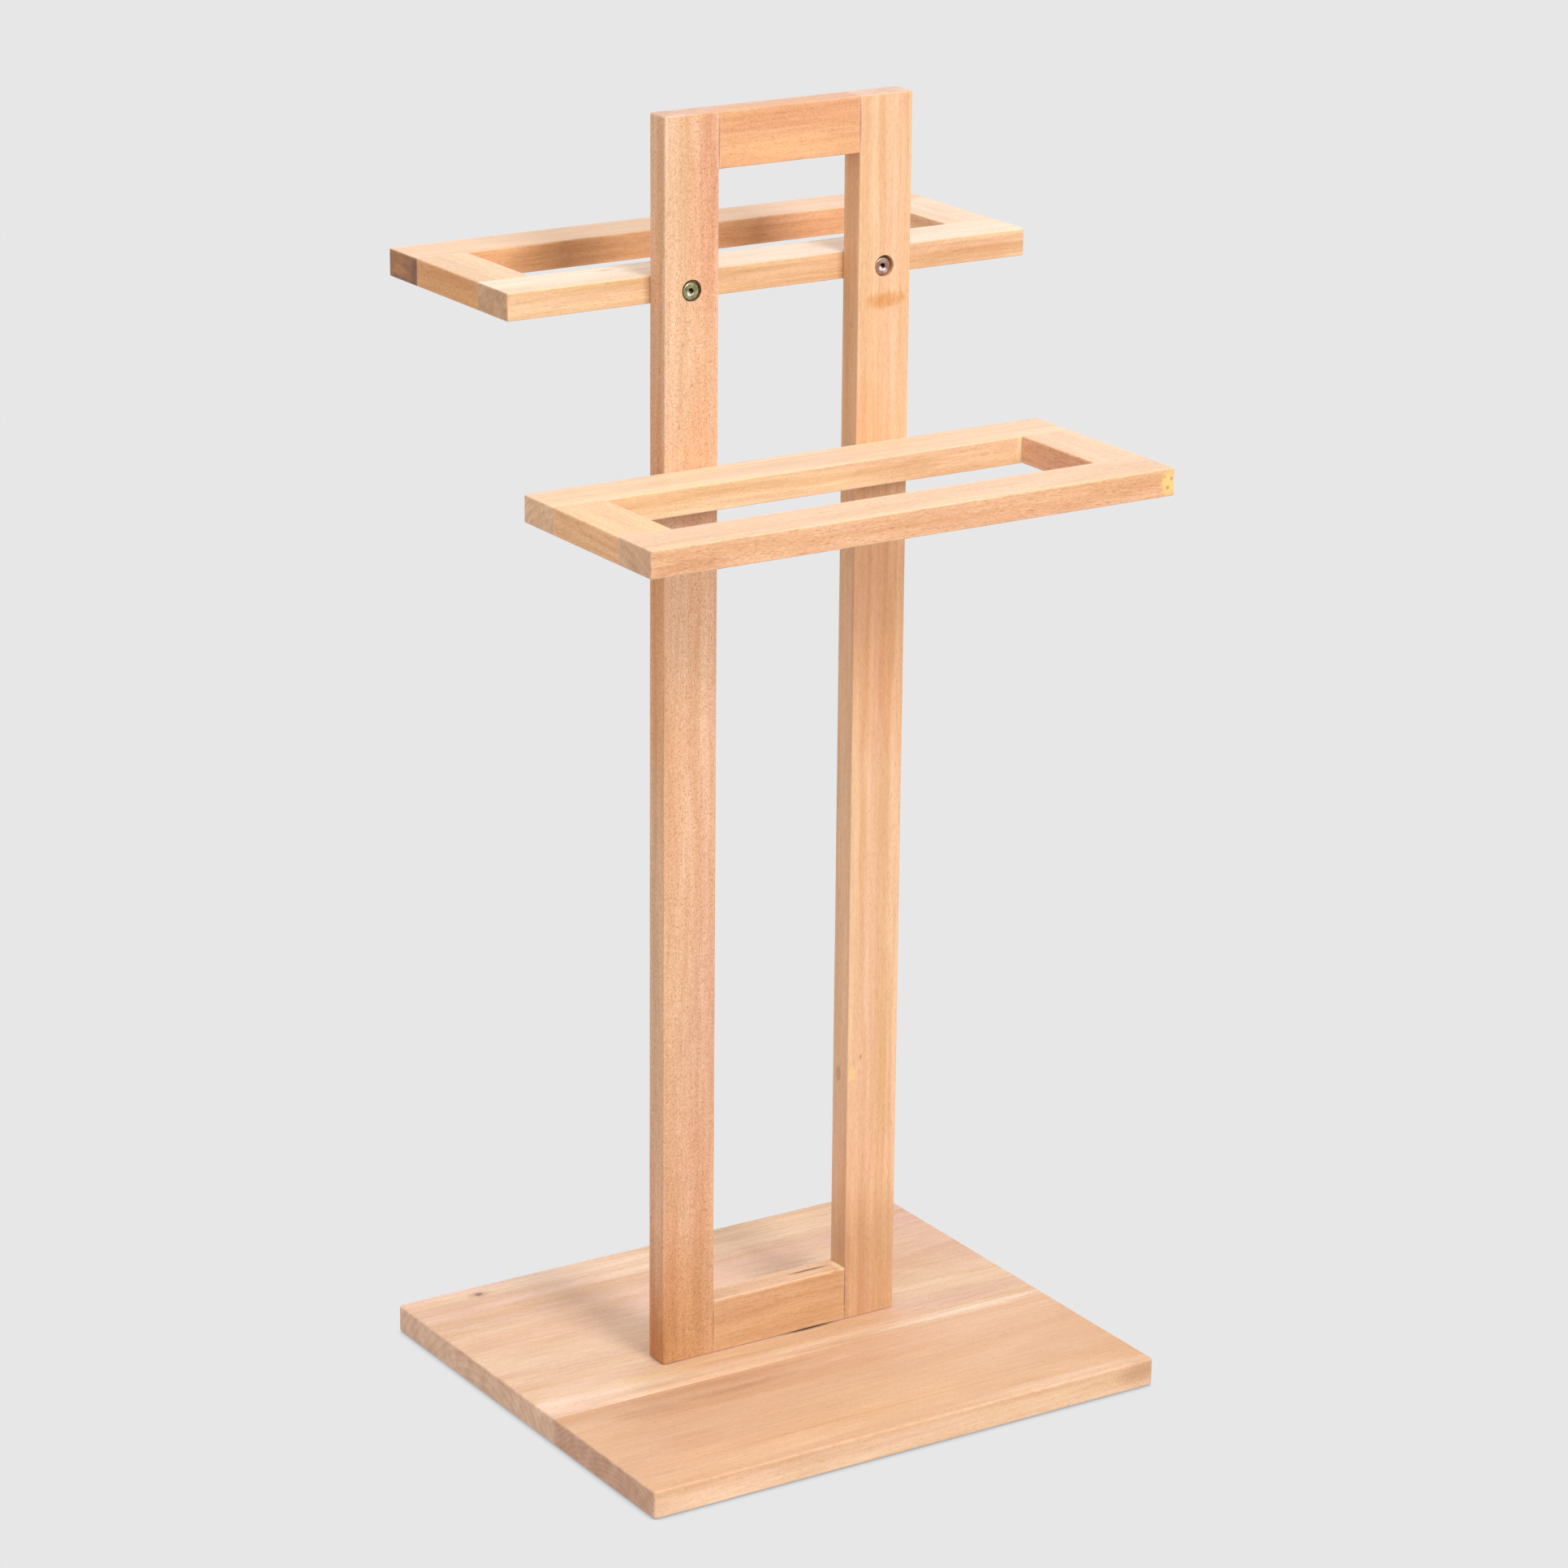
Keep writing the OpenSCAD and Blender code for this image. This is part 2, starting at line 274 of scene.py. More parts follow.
red_power = 0.7
blue_power = 1.35
noise_mean = 0.5


def shaded(tree, tone, shade):
    """A tone made darker or lighter, where darker wood is also redder."""
    red = reckon(tree, "POWER", shade, red_power)
    blue = reckon(tree, "POWER", shade, blue_power)
    factor = node(tree, "CombineColor", {0: red, 1: shade, 2: blue}).outputs[0]
    return tint(tree, 1.0, tone, factor, "MULTIPLY")


def varied(tree, tone, noise, strength):
    """A tone that grows darker and lighter with a noise."""
    swing = reckon(tree, "SUBTRACT", noise, noise_mean)
    return shaded(tree, tone, reckon(tree, "MULTIPLY_ADD", swing, strength, 1.0))


def swayed(tree, place, noise, strength):
    """A place pushed across the grain by a coloured noise."""
    centred = vector(tree, "SUBTRACT", noise, (noise_mean,) * 3)
    sideways = vector(tree, "MULTIPLY", centred, (0.0, 2.0, 2.0))
    push = node(tree, "VectorMath", {0: sideways, "Scale": strength}, operation="SCALE").outputs[0]
    return vector(tree, "ADD", place, push)


amber = (0.76, 0.42, 0.22)
honey = (0.88, 0.55, 0.34)
rose = (0.80, 0.44, 0.30)
late_brown = (0.58, 0.27, 0.13)
pore_brown = (0.36, 0.14, 0.06)
end_pale = (0.62, 0.40, 0.27)
end_brown = (0.46, 0.27, 0.17)
end_cream = (0.78, 0.56, 0.42)
end_pore = (0.30, 0.14, 0.08)
band_length = 480.0
ray_length = 14.0
rays_per_turn = 70.0
crumb_shade = 0.20
dash_shade = 0.34
hair_shade = -0.45
season_share = 0.35
ray_share = 0.2
end_pore_share = 0.4
wood_rough = 0.46
fibre_rough = 0.16
dash_rough = 0.12
end_rough = 0.15
fibre_relief = 0.35
pore_relief = -1.0
dash_relief = -0.5


def make_timber():
    """The wood itself, as a solid figure in the log: its rings about the heart, the bands of
    colour that follow them, streaks, fibres and pores along the grain, and end grain."""
    tree, given, result = new_group(
        "Timber",
        [("Place", "v"), ("End grain", "f"), ("Wash", "c"), ("End wash", "c"), ("Ring width", "f"),
         ("Ring strength", "f"), ("Waver", "f"), ("Curl", "f"), ("Band width", "f"),
         ("Rosy share", "f"), ("Streak strength", "f"), ("Grain cell", "v"),
         ("Grain strength", "f"), ("Pore size", "f"), ("Pore strength", "f"), ("Ripple", "f"),
         ("Saw turn", "f"), ("Saw strength", "f")],
        [("Color", "c"), ("Roughness", "f"), ("Height", "f")])

    drift = cloud(tree, given["Place"], 2.0, 0.45, cell=(170, 38, 38), colour=True)
    place = swayed(tree, given["Place"], drift, given["Waver"])
    kink = cloud(tree, given["Place"], cell=(20, 12, 12), colour=True)
    curled = swayed(tree, place, kink, given["Curl"])
    radius = vector(tree, "LENGTH", vector(tree, "MULTIPLY", place, (0.0, 1.0, 1.0)))
    along, across, through = node(tree, "SeparateXYZ", {0: place}).outputs

    years = reckon(tree, "DIVIDE", radius, given["Ring width"])
    season = reckon(tree, "FRACT", years)
    late = times(tree, rise(tree, season, 0.35, 0.88), rise(tree, season, 0.88, 1.0, 1.0, 0.0))
    year = node(tree, "TexWhiteNoise", {"W": reckon(tree, "FLOOR", years)}, noise_dimensions="1D")
    rings = times(tree, late, rise(tree, year.outputs["Value"], 0.05, 0.95, 0.25, 1.0))

    band_place = node(tree, "CombineXYZ", {
        0: reckon(tree, "DIVIDE", along, band_length),
        1: reckon(tree, "DIVIDE", radius, given["Band width"])}).outputs[0]
    bands = rise(tree, cloud(tree, band_place, 3.0, 0.55), 0.34, 0.66)
    rosy_place = vector(tree, "MULTIPLY", band_place, (1.6, 0.7, 1.0))
    rosy_place = vector(tree, "ADD", rosy_place, (7.3, 2.1, 4.0))
    rosy = rise(tree, cloud(tree, rosy_place), 0.42, 0.68)

    streaks = cloud(tree, place, 4.0, 0.7, cell=(70, 3.2, 3.2))
    fibres = cloud(tree, curled, 3.0, 0.65, cell=(24, 1.1, 1.1))
    hairs = rise(tree, fibres, 0.57, 0.70)
    grain = cloud(tree, vector(tree, "DIVIDE", curled, given["Grain cell"]), 2.0, 0.7)
    dashes = rise(tree, grain, 0.52, 0.74)
    crumbs = rise(tree, grain, 0.30, 0.46, 1.0, 0.0)
    ripple = cloud(tree, curled, cell=(3.2, 4.5, 4.5))
    crowd = cloud(tree, place, cell=(60, 9, 9))
    vessels = node(tree, "TexVoronoi", {
        "Vector": in_cells(tree, curled, (4.2, 0.8, 0.8)), "Scale": 1.0, "Randomness": 1.0},
        feature="F1").outputs["Distance"]
    mouth = times(tree, given["Pore size"], rise(tree, crowd, 0.3, 0.7, 0.4, 1.25))
    pores = rise(tree, reckon(tree, "DIVIDE", vessels, mouth), 0.5, 1.0, 1.0, 0.0)

    tone = tint(tree, bands, amber, honey)
    tone = tint(tree, times(tree, rosy, given["Rosy share"]), tone, rose)
    tone = tint(tree, times(tree, rings, given["Ring strength"]), tone, late_brown)
    tone = varied(tree, tone, streaks, given["Streak strength"])
    hairy = times(tree, times(tree, hairs, given["Streak strength"]), hair_shade)
    tone = shaded(tree, tone, reckon(tree, "ADD", hairy, rise(tree, fibres, 0.2, 0.8, 0.94, 1.08)))
    grainy = reckon(tree, "SUBTRACT", times(tree, crumbs, crumb_shade), times(tree, dashes, dash_shade))
    tone = shaded(tree, tone, reckon(tree, "MULTIPLY_ADD", grainy, given["Grain strength"], 1.0))
    tone = varied(tree, tone, ripple, given["Ripple"])
    tone = tint(tree, times(tree, pores, given["Pore strength"]), tone, pore_brown)
    tone = tint(tree, 1.0, tone, given["Wash"], "MULTIPLY")

    ray_place = node(tree, "CombineXYZ", {
        0: times(tree, reckon(tree, "ARCTAN2", through, across), rays_per_turn),
        1: reckon(tree, "DIVIDE", radius, ray_length)}).outputs[0]
    rays = rise(tree, cloud(tree, ray_place, 2.0, 0.6), 0.5, 0.75)
    blade = node(tree, "VectorRotate", {
        "Vector": place, "Axis": (1.0, 0.0, 0.0), "Angle": given["Saw turn"]}).outputs[0]
    sawn = cloud(tree, blade, 3.0, 0.65, cell=(30, 14, 0.9))
    patch = cloud(tree, place, 3.0, 0.6, cell=(40, 11, 11))
    late_share = times(tree, rise(tree, season, 0.1, 0.95), season_share)
    end_tone = tint(tree, late_share, end_pale, end_brown)
    end_tone = tint(tree, times(tree, rays, ray_share), end_tone, end_cream)
    end_tone = varied(tree, end_tone, sawn, given["Saw strength"])
    end_tone = shaded(tree, end_tone, rise(tree, patch, 0.25, 0.75, 0.84, 1.14))
    end_tone = tint(tree, times(tree, pores, end_pore_share), end_tone, end_pore)
    end_tone = tint(tree, 1.0, end_tone, given["End wash"], "MULTIPLY")
    tree.links.new(tint(tree, given["End grain"], tone, end_tone), result["Color"])

    rough = reckon(tree, "MULTIPLY_ADD", fibres, fibre_rough, wood_rough)
    rough = reckon(tree, "MULTIPLY_ADD", dashes, dash_rough, rough)
    rough = reckon(tree, "MULTIPLY_ADD", given["End grain"], end_rough, rough, clamp=True)
    tree.links.new(rough, result["Roughness"])
    relief = reckon(tree, "MULTIPLY_ADD", fibres, fibre_relief, times(tree, pores, pore_relief))
    dash_height = times(tree, dashes, given["Grain strength"])
    relief = reckon(tree, "MULTIPLY_ADD", dash_height, dash_relief, relief)
    relief = reckon(tree, "ADD", relief, times(tree, sawn, given["End grain"]))
    tree.links.new(relief, result["Height"])
    return tree


def make_worn_lit_edge():
    """How near a place is to the edges of a box-shaped board, for arrises paled partly by wear and partly
    by a painted highlight.
    """
    tree, given, result = new_group(
        "Worn lit edge", [("Place", "v"), ("Centre", "v"), ("Half size", "v"), ("Reach", "f")],
        [("Mask", "f")])
    away = vector(tree, "ABSOLUTE", vector(tree, "SUBTRACT", given["Place"], given["Centre"]))
    depth = vector(tree, "SUBTRACT", given["Half size"], away)
    dx, dy, dz = node(tree, "SeparateXYZ", {0: depth}).outputs
    larger = reckon(tree, "MAXIMUM", dx, dy)
    second = reckon(tree, "MAXIMUM", reckon(tree, "MINIMUM", dx, dy), reckon(tree, "MINIMUM", larger, dz))
    uneven = cloud(tree, given["Place"], 3.0, 0.6, cell=(9, 9, 9))
    reach = times(tree, given["Reach"], rise(tree, uneven, 0.3, 0.7, 0.5, 1.5))
    nearness = reckon(tree, "DIVIDE", second, reach)
    tree.links.new(rise(tree, nearness, 0.15, 1.0, 1.0, 0.0), result["Mask"])
    return tree


def make_mark():
    """A mark of a given size at a given place, such as a knot, a stain or a fill."""
    tree, given, result = new_group(
        "Mark", [("Place", "v"), ("Centre", "v"), ("Half size", "v"), ("Raggedness", "f"), ("Grit", "v")],
        [("Mask", "f")])
    offset = vector(tree, "SUBTRACT", given["Place"], given["Centre"])
    far = vector(tree, "LENGTH", vector(tree, "DIVIDE", offset, given["Half size"]))
    noise = cloud(tree, vector(tree, "MULTIPLY", given["Place"], given["Grit"]), 3.0, 0.6)
    ragged = times(tree, reckon(tree, "SUBTRACT", noise, noise_mean), given["Raggedness"])
    tree.links.new(rise(tree, reckon(tree, "ADD", far, ragged), 0.35, 1.0, 1.0, 0.0), result["Mask"])
    return tree


timber = make_timber()
worn_lit_edge = make_worn_lit_edge()
mark = make_mark()

# How a board lies in its log: rows are the ways that run along, across and through it
GRAIN_X = Matrix(((1, 0, 0), (0, 1, 0), (0, 0, 1)))
GRAIN_X_UPRIGHT = Matrix(((1, 0, 0), (0, 0, 1), (0, -1, 0)))
GRAIN_Y = Matrix(((0, 1, 0), (-1, 0, 0), (0, 0, 1)))
GRAIN_Z = Matrix(((0, 0, 1), (1, 0, 0), (0, 1, 0)))

plain_figure = {
    "Ring width": 6.0, "Ring strength": 0.14, "Waver": 4.0, "Curl": 0.8, "Band width": 12.0,
    "Rosy share": 0.4, "Streak strength": 0.6, "Grain cell": (2.6, 0.55, 0.55),
    "Grain strength": 0.7, "Pore size": 0.20, "Pore strength": 0.45, "Ripple": 0.06,
    "Saw turn": 1.0, "Saw strength": 0.5}


def spot(centre, half, tone, share=0.8, ragged=0.5, grit=(0.3, 0.3, 0.3), sunk=0.0):
    """One mark that covers the wood: its middle and half its size in millimetres, its tone,
    and how ragged its edge is, by a noise of so many cells a millimetre."""
    return centre, half, tone, share, ragged, grit, sunk, "MIX"


def stain(centre, half, change, share=0.9, ragged=0.7, grit=(0.02, 0.1, 0.1)):
    """One mark that lets the figure show through, and changes its tone by a factor."""
    return centre, half, change, share, ragged, grit, 0.0, "MULTIPLY"


def new_finish(name):
    """A new material: its tree, its shader, and the place and normal on the piece."""
    finish = bpy.data.materials.new(name)
    finish.use_nodes = True
    tree = finish.node_tree
    coords = node(tree, "TexCoord").outputs
    return finish, tree, tree.nodes["Principled BSDF"], coords


def in_millimetres(tree, coords):
    """The place on the piece in millimetres."""
    return in_cells(tree, coords["Object"], (MM,) * 3)


def mark_mask(tree, here, centre, half, ragged, grit=(0.0, 0.0, 0.0)):
    """Where one mark lies."""
    return node(tree, "Group", {
        "Place": here, "Centre": centre, "Half size": half, "Raggedness": ragged, "Grit": grit},
        node_tree=mark).outputs["Mask"]


def coat(tree, shader, tone, rough, height, depth):
    """Links a finish's tone, its roughness and its relief of a given depth to the shader."""
    tree.links.new(tone, shader.inputs["Base Color"])
    tree.links.new(rough, shader.inputs["Roughness"])
    bump = node(tree, "Bump", {"Height": height, "Strength": 1.0, "Distance": depth})
    tree.links.new(bump.outputs["Normal"], shader.inputs["Normal"])


oil_gloss = 0.25
haze_spread = 0.4
worn_lit_reach = 2.2
worn_lit_share = 0.18
worn_lit_tone = (0.9, 0.62, 0.42)
bore_shading_half = (18, 9, 18)
bore_shading_ragged = 0.2
wood_relief = 0.06 * MM


def oiled_wood(name, low, high, grain, heart, wash, end_wash, figure=(), marks=(), bore_shading=(),
               slant=(0.0, 0.0), haze=0.35):
    """The oiled finish of one board between two corners. Heart is where the board's centre
    lies in its log: how far along, across and through it from the heart, in millimetres.
    Bore shading is painted light and shade on the walls of the counterbores in the front. Haze
    is the pale bloom of sanded fibres, seen where the eye grazes the wood."""
    finish, tree, shader, coords = new_finish(name)
    here = in_millimetres(tree, coords)
    shader.inputs["Specular IOR Level"].default_value = oil_gloss
    shader.inputs["Sheen Weight"].default_value = haze
    shader.inputs["Sheen Roughness"].default_value = haze_spread

    around, upwards = (math.radians(angle) for angle in slant)
    turn = Matrix.Rotation(around, 3, "Z") @ Matrix.Rotation(upwards, 3, "Y") @ grain
    centre = (low + high) / (2 * MM)
    inside = node(tree, "Mapping", {
        "Vector": coords["Object"], "Scale": (1 / MM,) * 3, "Rotation": turn.to_euler(),
        "Location": Vector(heart) - turn @ centre}).outputs[0]
    facing = reckon(tree, "ABSOLUTE", vector(tree, "DOT_PRODUCT", coords["Normal"], grain[0]))
    wood = node(tree, "Group", {
        "Place": inside, "End grain": rise(tree, facing, 0.45, 0.85), "Wash": (*wash, 1.0),
        "End wash": (*end_wash, 1.0), **plain_figure, **dict(figure)}, node_tree=timber).outputs

    # Arrises paled, partly as rubbed wear and partly as a painted highlight
    worn_lit = node(tree, "Group", {
        "Place": here, "Centre": centre, "Half size": (high - low) / (2 * MM), "Reach": worn_lit_reach},
        node_tree=worn_lit_edge).outputs["Mask"]
    colour = tint(tree, times(tree, worn_lit, worn_lit_share), wood["Color"], worn_lit_tone)
    height = wood["Height"]
    for middle, half, tone, share, ragged, grit, sunk, blend in marks:
        mask = mark_mask(tree, here, middle, half, ragged, grit)
        colour = tint(tree, times(tree, mask, share), colour, tone, blend)
        if sunk:
            height = reckon(tree, "MULTIPLY_ADD", mask, -sunk, height)
    # Painted light and shade on the counterbore walls, the faces that don't look to the front or back
    frontal = reckon(tree, "ABSOLUTE", node(tree, "SeparateXYZ", {0: coords["Normal"]}).outputs[1])
    wall = rise(tree, frontal, 0.3, 0.7, 1.0, 0.0)
    for middle, tone in bore_shading:
        mask = mark_mask(tree, here, middle, bore_shading_half, bore_shading_ragged)
        colour = tint(tree, times(tree, mask, wall), colour, tone)
    coat(tree, shader, colour, wood["Roughness"], height, wood_relief)
    return finish


def fit(piece, finish, slot, *cad_nodes):
    """Gives a finished piece its material and its place in the frame. The slot is not used."""
    piece.data.materials.clear()
    piece.data.materials.append(finish)
    smooth(piece)
    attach(piece, "root")
    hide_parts(*cad_nodes)


front_low, front_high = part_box("base_plank_front")
back_low, back_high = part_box("base_plank_back")
seam_y = front_high.y
bolt_x = 73.75 * MM
head_radius = 6.0 * MM
head_thickness = 2.5 * MM
head_recess = 2.0 * MM
bolt_length = 30.0 * MM
recess_radius = 7.15 * MM
recess_depth = head_recess + head_thickness
mouth_flare = 0.3 * MM
shank_hole_radius = 3.25 * MM
past = 1.0 * MM


def bolt_hole(place, inwards, board, lift=0.0):
    """A counterbored bolt hole through a board, its mouth slightly broken by the cutter. The
    counterbore can lie a little above the shank's hole, as it does where it was bored by hand."""
    recess = place + up_way * lift
    return [
        (recess - inwards * past, recess + inwards * recess_depth, recess_radius, recess_radius),
        (recess - inwards * mouth_flare, recess + 2 * inwards * mouth_flare,
         recess_radius + 2 * mouth_flare, recess_radius - mouth_flare),
        (place, place + inwards * (board + past), shank_hole_radius, shank_hole_radius)]


base = block("base_blank", front_low, back_high)
ease(base, base_corner, lambda edge: runs_along(edge, 2))
ease(base, base_arris, lambda edge: edge.calc_face_angle(0.0) > sharp)
loops(0, front_low.x, back_high.x)
loops(1, front_low.y, back_high.y)
sand(base)
plank_front = saw(base, "front_plank", (1, seam_y, -1))
plank_back = saw(base, "back_plank", (1, seam_y, 1))
bpy.data.objects.remove(base)
for side in (-1, 1):
    drill(plank_back, bolt_hole(right_way * side * bolt_x, up_way, back_high.z))

gap_shade = (0.14, 0.06, 0.025)

# The front plank: a brown band along the seam, brown lines along the grain, a pale front
# edge with rough brown wood at its right end, and broad patches a little paler or darker
front_marks = [
    stain((-95, -58, 18), (115, 18, 10), (0.84, 0.78, 0.73), 0.8, 0.8),
    stain((150, -70, 18), (90, 40, 12), (1.10, 1.18, 1.34), 0.5, 0.6, (0.02, 0.05, 0.1)),
    stain((-60, -66, 20), (75, 3.5, 4), (0.72, 0.62, 0.54), 0.25, 1.2, (0.05, 0.3, 0.3)),
    stain((-10, -144, 20), (200, 1.8, 5), (0.77, 0.68, 0.61), 0.4, 1.2, (0.04, 0.5, 0.5)),
    stain((-110, -160, 16), (130, 15, 14), (1.16, 1.24, 1.22), 0.6),
    stain((0, -178, 6), (520, 16, 18), (1.20, 1.34, 1.50), 0.75, 0.6, (0.02, 0.2, 0.2)),
    stain((-150, -176, 8), (70, 12, 14), (1.10, 1.12, 1.14), 0.8, 0.8, (0.03, 0.2, 0.2)),
    stain((-60, -72, 20), (150, 13, 6), (0.91, 0.85, 0.79)),
    stain((-60, -143, 20), (170, 16, 6), (1.06, 1.05, 1.0)),
    stain((150, -118, 20), (90, 24, 6), (1.03, 1.05, 1.15)),
    stain((150, -169, 20), (110, 9, 6), (1.08, 1.17, 1.30), 0.9, 0.6),
    stain((-139, -70, 20), (36, 13, 6), (0.93, 0.89, 0.85)),
    stain((-140, -120, 20), (36, 14, 6), (0.94, 0.90, 0.85)),
    stain((0, -95, 20), (100, 12, 6), (0.96, 0.93, 0.97)),
    stain((115, -166, 20), (75, 7, 6), (1.07, 1.14, 1.24)),
    stain((0, -176, 10), (75, 6, 10), (0.99, 0.94, 0.98)),
    spot((190, -174, 12), (24, 4, 11), (0.50, 0.27, 0.15), 0.6, 3.0, (1.1, 0.8, 1.1))]

# The back plank: a knot with its ring, pale streaks and bands along the grain, painted shade
# under the foot rail's gap, a painted contact shadow behind the upright, and broad patches a little paler
# or darker
back_marks = [
    spot((-143.3, 160.2, 20), (4.2, 3.4, 5), (0.24, 0.12, 0.09), 0.85, 0.8, (0.5, 0.5, 0.5)),
    stain((-143.3, 160.2, 20), (12, 7, 8), (0.70, 0.60, 0.62), 0.7, 0.9, (0.2, 0.3, 0.3)),
    stain((-130, 170, 20), (110, 15, 8), (1.20, 1.36, 1.50), 0.6, 0.8, (0.03, 0.2, 0.2)),
    stain((-190, 0, 18), (85, 46, 14), (1.19, 1.28, 1.35), 0.4, 0.8, (0.02, 0.06, 0.1)),
    stain((-150, -29, 20), (110, 19, 8), (1.14, 1.24, 1.30), 0.8, 0.8),
    stain((-10, -18, 18), (110, 20, 14), (1.0, 0.98, 0.86), 0.6),
    stain((-70, -42, 20), (130, 7, 8), (1.18, 1.22, 1.24), 0.7, 1.0, (0.02, 0.2, 0.2)),
    stain((130, -39, 20), (85, 4.5, 6), (1.22, 1.44, 1.66), 0.7, 1.2, (0.02, 0.5, 0.5)),
    stain((120, -33, 20), (60, 1.6, 6), (1.22, 1.44, 1.66), 0.5, 1.0, (0.02, 0.5, 0.5)),
    spot((24, -8, 20), (28, 4.0, 2), gap_shade, 0.9, 0.3, (0.1, 0.3, 0.3)),
    stain((190, 100, 18), (100, 100, 14), (0.92, 0.84, 0.90), 0.8, 0.8, (0.02, 0.04, 0.1)),
    stain((-60, 85, 18), (170, 50, 14), (1.08, 1.12, 1.26), 0.5, 0.8, (0.015, 0.04, 0.1)),
    stain((-150, 78, 20), (100, 30, 8), (0.93, 0.84, 0.77), 0.9, 0.8, (0.02, 0.06, 0.1)),
    stain((-180, 20, 20), (80, 24, 8), (0.90, 0.82, 0.79), 0.9, 0.8, (0.02, 0.06, 0.1)),
    stain((-50, 160, 20), (90, 30, 8), (1.09, 1.15, 1.29), 0.9, 0.8, (0.02, 0.06, 0.1)),
    stain((-50, -15, 20), (110, 11, 8), (1.06, 1.13, 1.10), 0.9, 0.6),
    stain((62, -17, 20), (55, 13, 8), (0.99, 0.97, 0.83), 0.9, 0.6),
    stain((165, -16, 20), (60, 16, 8), (0.92, 0.90, 0.86), 0.9, 0.6),
    stain((-100, -32, 20), (45, 11, 8), (0.89, 0.84, 0.76), 0.9, 0.6, (0.03, 0.1, 0.1)),
    stain((50, -41, 20), (110, 8, 8), (0.91, 0.86, 0.80), 0.9, 0.6),
    stain((62, 121, 20), (34, 32, 8), (1.13, 1.12, 1.15)),
    stain((-100, 136, 20), (80, 15, 8), (1.07, 1.08, 1.17)),
    stain((-85, 103, 20), (60, 16, 8), (0.97, 0.91, 0.89)),
    stain((20, 75, 20), (30, 16, 8), (1.04, 1.11, 1.16)),
    stain((-162, -14, 20), (45, 10, 8), (1.03, 1.09, 1.18)),
    # Painted contact shadow behind the upright
    stain((6, 20, 20), (50, 14, 8), (0.91, 0.90, 0.90)),
    stain((182, 45, 20), (36, 18, 8), (1.05, 1.09, 1.18))]
front_figure = {
    "Band width": 16.0, "Streak strength": 0.4, "Grain cell": (3.4, 0.6, 0.6), "Grain strength": 0.5,
    "Ring width": 3.8, "Ring strength": 0.05, "Saw strength": 0.15}
back_figure = {
    "Rosy share": 0.7, "Ring strength": 0.08, "Streak strength": 0.55, "Grain cell": (4.0, 0.6, 0.6),
    "Grain strength": 0.5, "Saw strength": 0.25}
front_wood = oiled_wood(
    "base_front_wood", front_low, front_high, GRAIN_X, heart=(120, 20, 95),
    wash=(0.86, 0.84, 0.79), end_wash=(1.01, 0.87, 0.82), figure=front_figure,
    marks=front_marks, slant=(0.6, 1.0))
fit(plank_front, front_wood, "base_front_wood", "base_plank_front")
back_wood = oiled_wood(
    "base_back_wood", back_low, back_high, GRAIN_X, heart=(0, 12, 62),
    wash=(0.93, 1.02, 1.10), end_wash=(1.21, 1.16, 1.14), figure=back_figure,
    marks=back_marks, slant=(1.2, 2.0))
fit(plank_back, back_wood, "base_back_wood", "base_plank_back")

# Upright: two full-height stiles with a rail dowelled and glued between them at the top
# and at the foot, then sanded flush as one slim ladder frame and oiled. The foot rail's
# lower edge is a little hollow, and its right joint has torn out along the glue line.

frame_corner = 1.6 * MM
frame_arris = 1.0 * MM
dowel_hole_radius = 4.05 * MM
dowel_in_edge = 13 * MM
dowel_in_end = 19 * MM
dowel_step = 9 * MM
recess_lift = 0.7 * MM
insert_hole_radius = 5.05 * MM
insert_hole_depth = 16.5 * MM

left_low, left_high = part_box("stile_left")
right_low, right_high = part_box("stile_right")
top_low, top_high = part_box("top_rail")
foot_low, foot_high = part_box("bottom_rail")
upper_low, upper_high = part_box("upper_inner_bar")
lower_low, lower_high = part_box("lower_inner_bar")
upper_z = (upper_low.z + upper_high.z) / 2
lower_z = (lower_low.z + lower_high.z) / 2


def plain_hole(start, way, depth, radius):
    """A plain round hole of a given depth, which starts a little outside the wood."""
    return start - way * past, start + way * depth, radius, radius


def ladder(name, low, high, hole_low, hole_high, through):
    """A board with one long opening through it along an axis, all its edges eased."""
    piece = block(name, low, high)
    flat_ways = [axis for axis in range(3) if axis != through]
    for axis in flat_ways:
        slice_across(axis, hole_low[axis])
        slice_across(axis, hole_high[axis])
    middle = (hole_low + hole_high) / 2

    def over_hole(face):
        centre = face.calc_center_median()
        return abs(face.normal[through]) > nearly_straight and all(
            abs(centre[axis] - middle[axis]) < touching for axis in flat_ways)

    def outer_corner(edge):
        place = (edge.verts[0].co + edge.verts[1].co) / 2
        return runs_along(edge, through) and all(
            min(abs(place[axis] - low[axis]), abs(place[axis] - high[axis])) < touching
            for axis in flat_ways)

    def arris(edge):
        return edge.calc_face_angle(0.0) > sharp and not runs_along(edge, through)

    select(piece, "FACE", over_hole)
    bpy.ops.mesh.bridge_edge_loops()
    ease(piece, frame_corner, outer_corner)
    ease(piece, frame_arris, arris)
    for axis in flat_ways:
        loops(axis, low[axis], high[axis])
    sand(piece)
    return piece


window_low = Vector((left_high.x, left_low.y, foot_high.z))
window_high = Vector((right_low.x, left_high.y, top_low.z))
window_z = (window_low.z + window_high.z) / 2
upright = ladder("upright_blank", left_low, right_high, window_low, window_high, 1)
between = ((0, left_high.x, 1), (0, right_low.x, -1))
stile_left = saw(upright, "left_stile", (0, left_high.x, -1))
stile_right = saw(upright, "right_stile", (0, right_low.x, 1))
top_rail = saw(upright, "upper_rail", *between, (2, window_z, 1))
foot_rail = saw(upright, "lower_rail", *between, (2, window_z, -1))
bpy.data.objects.remove(upright)

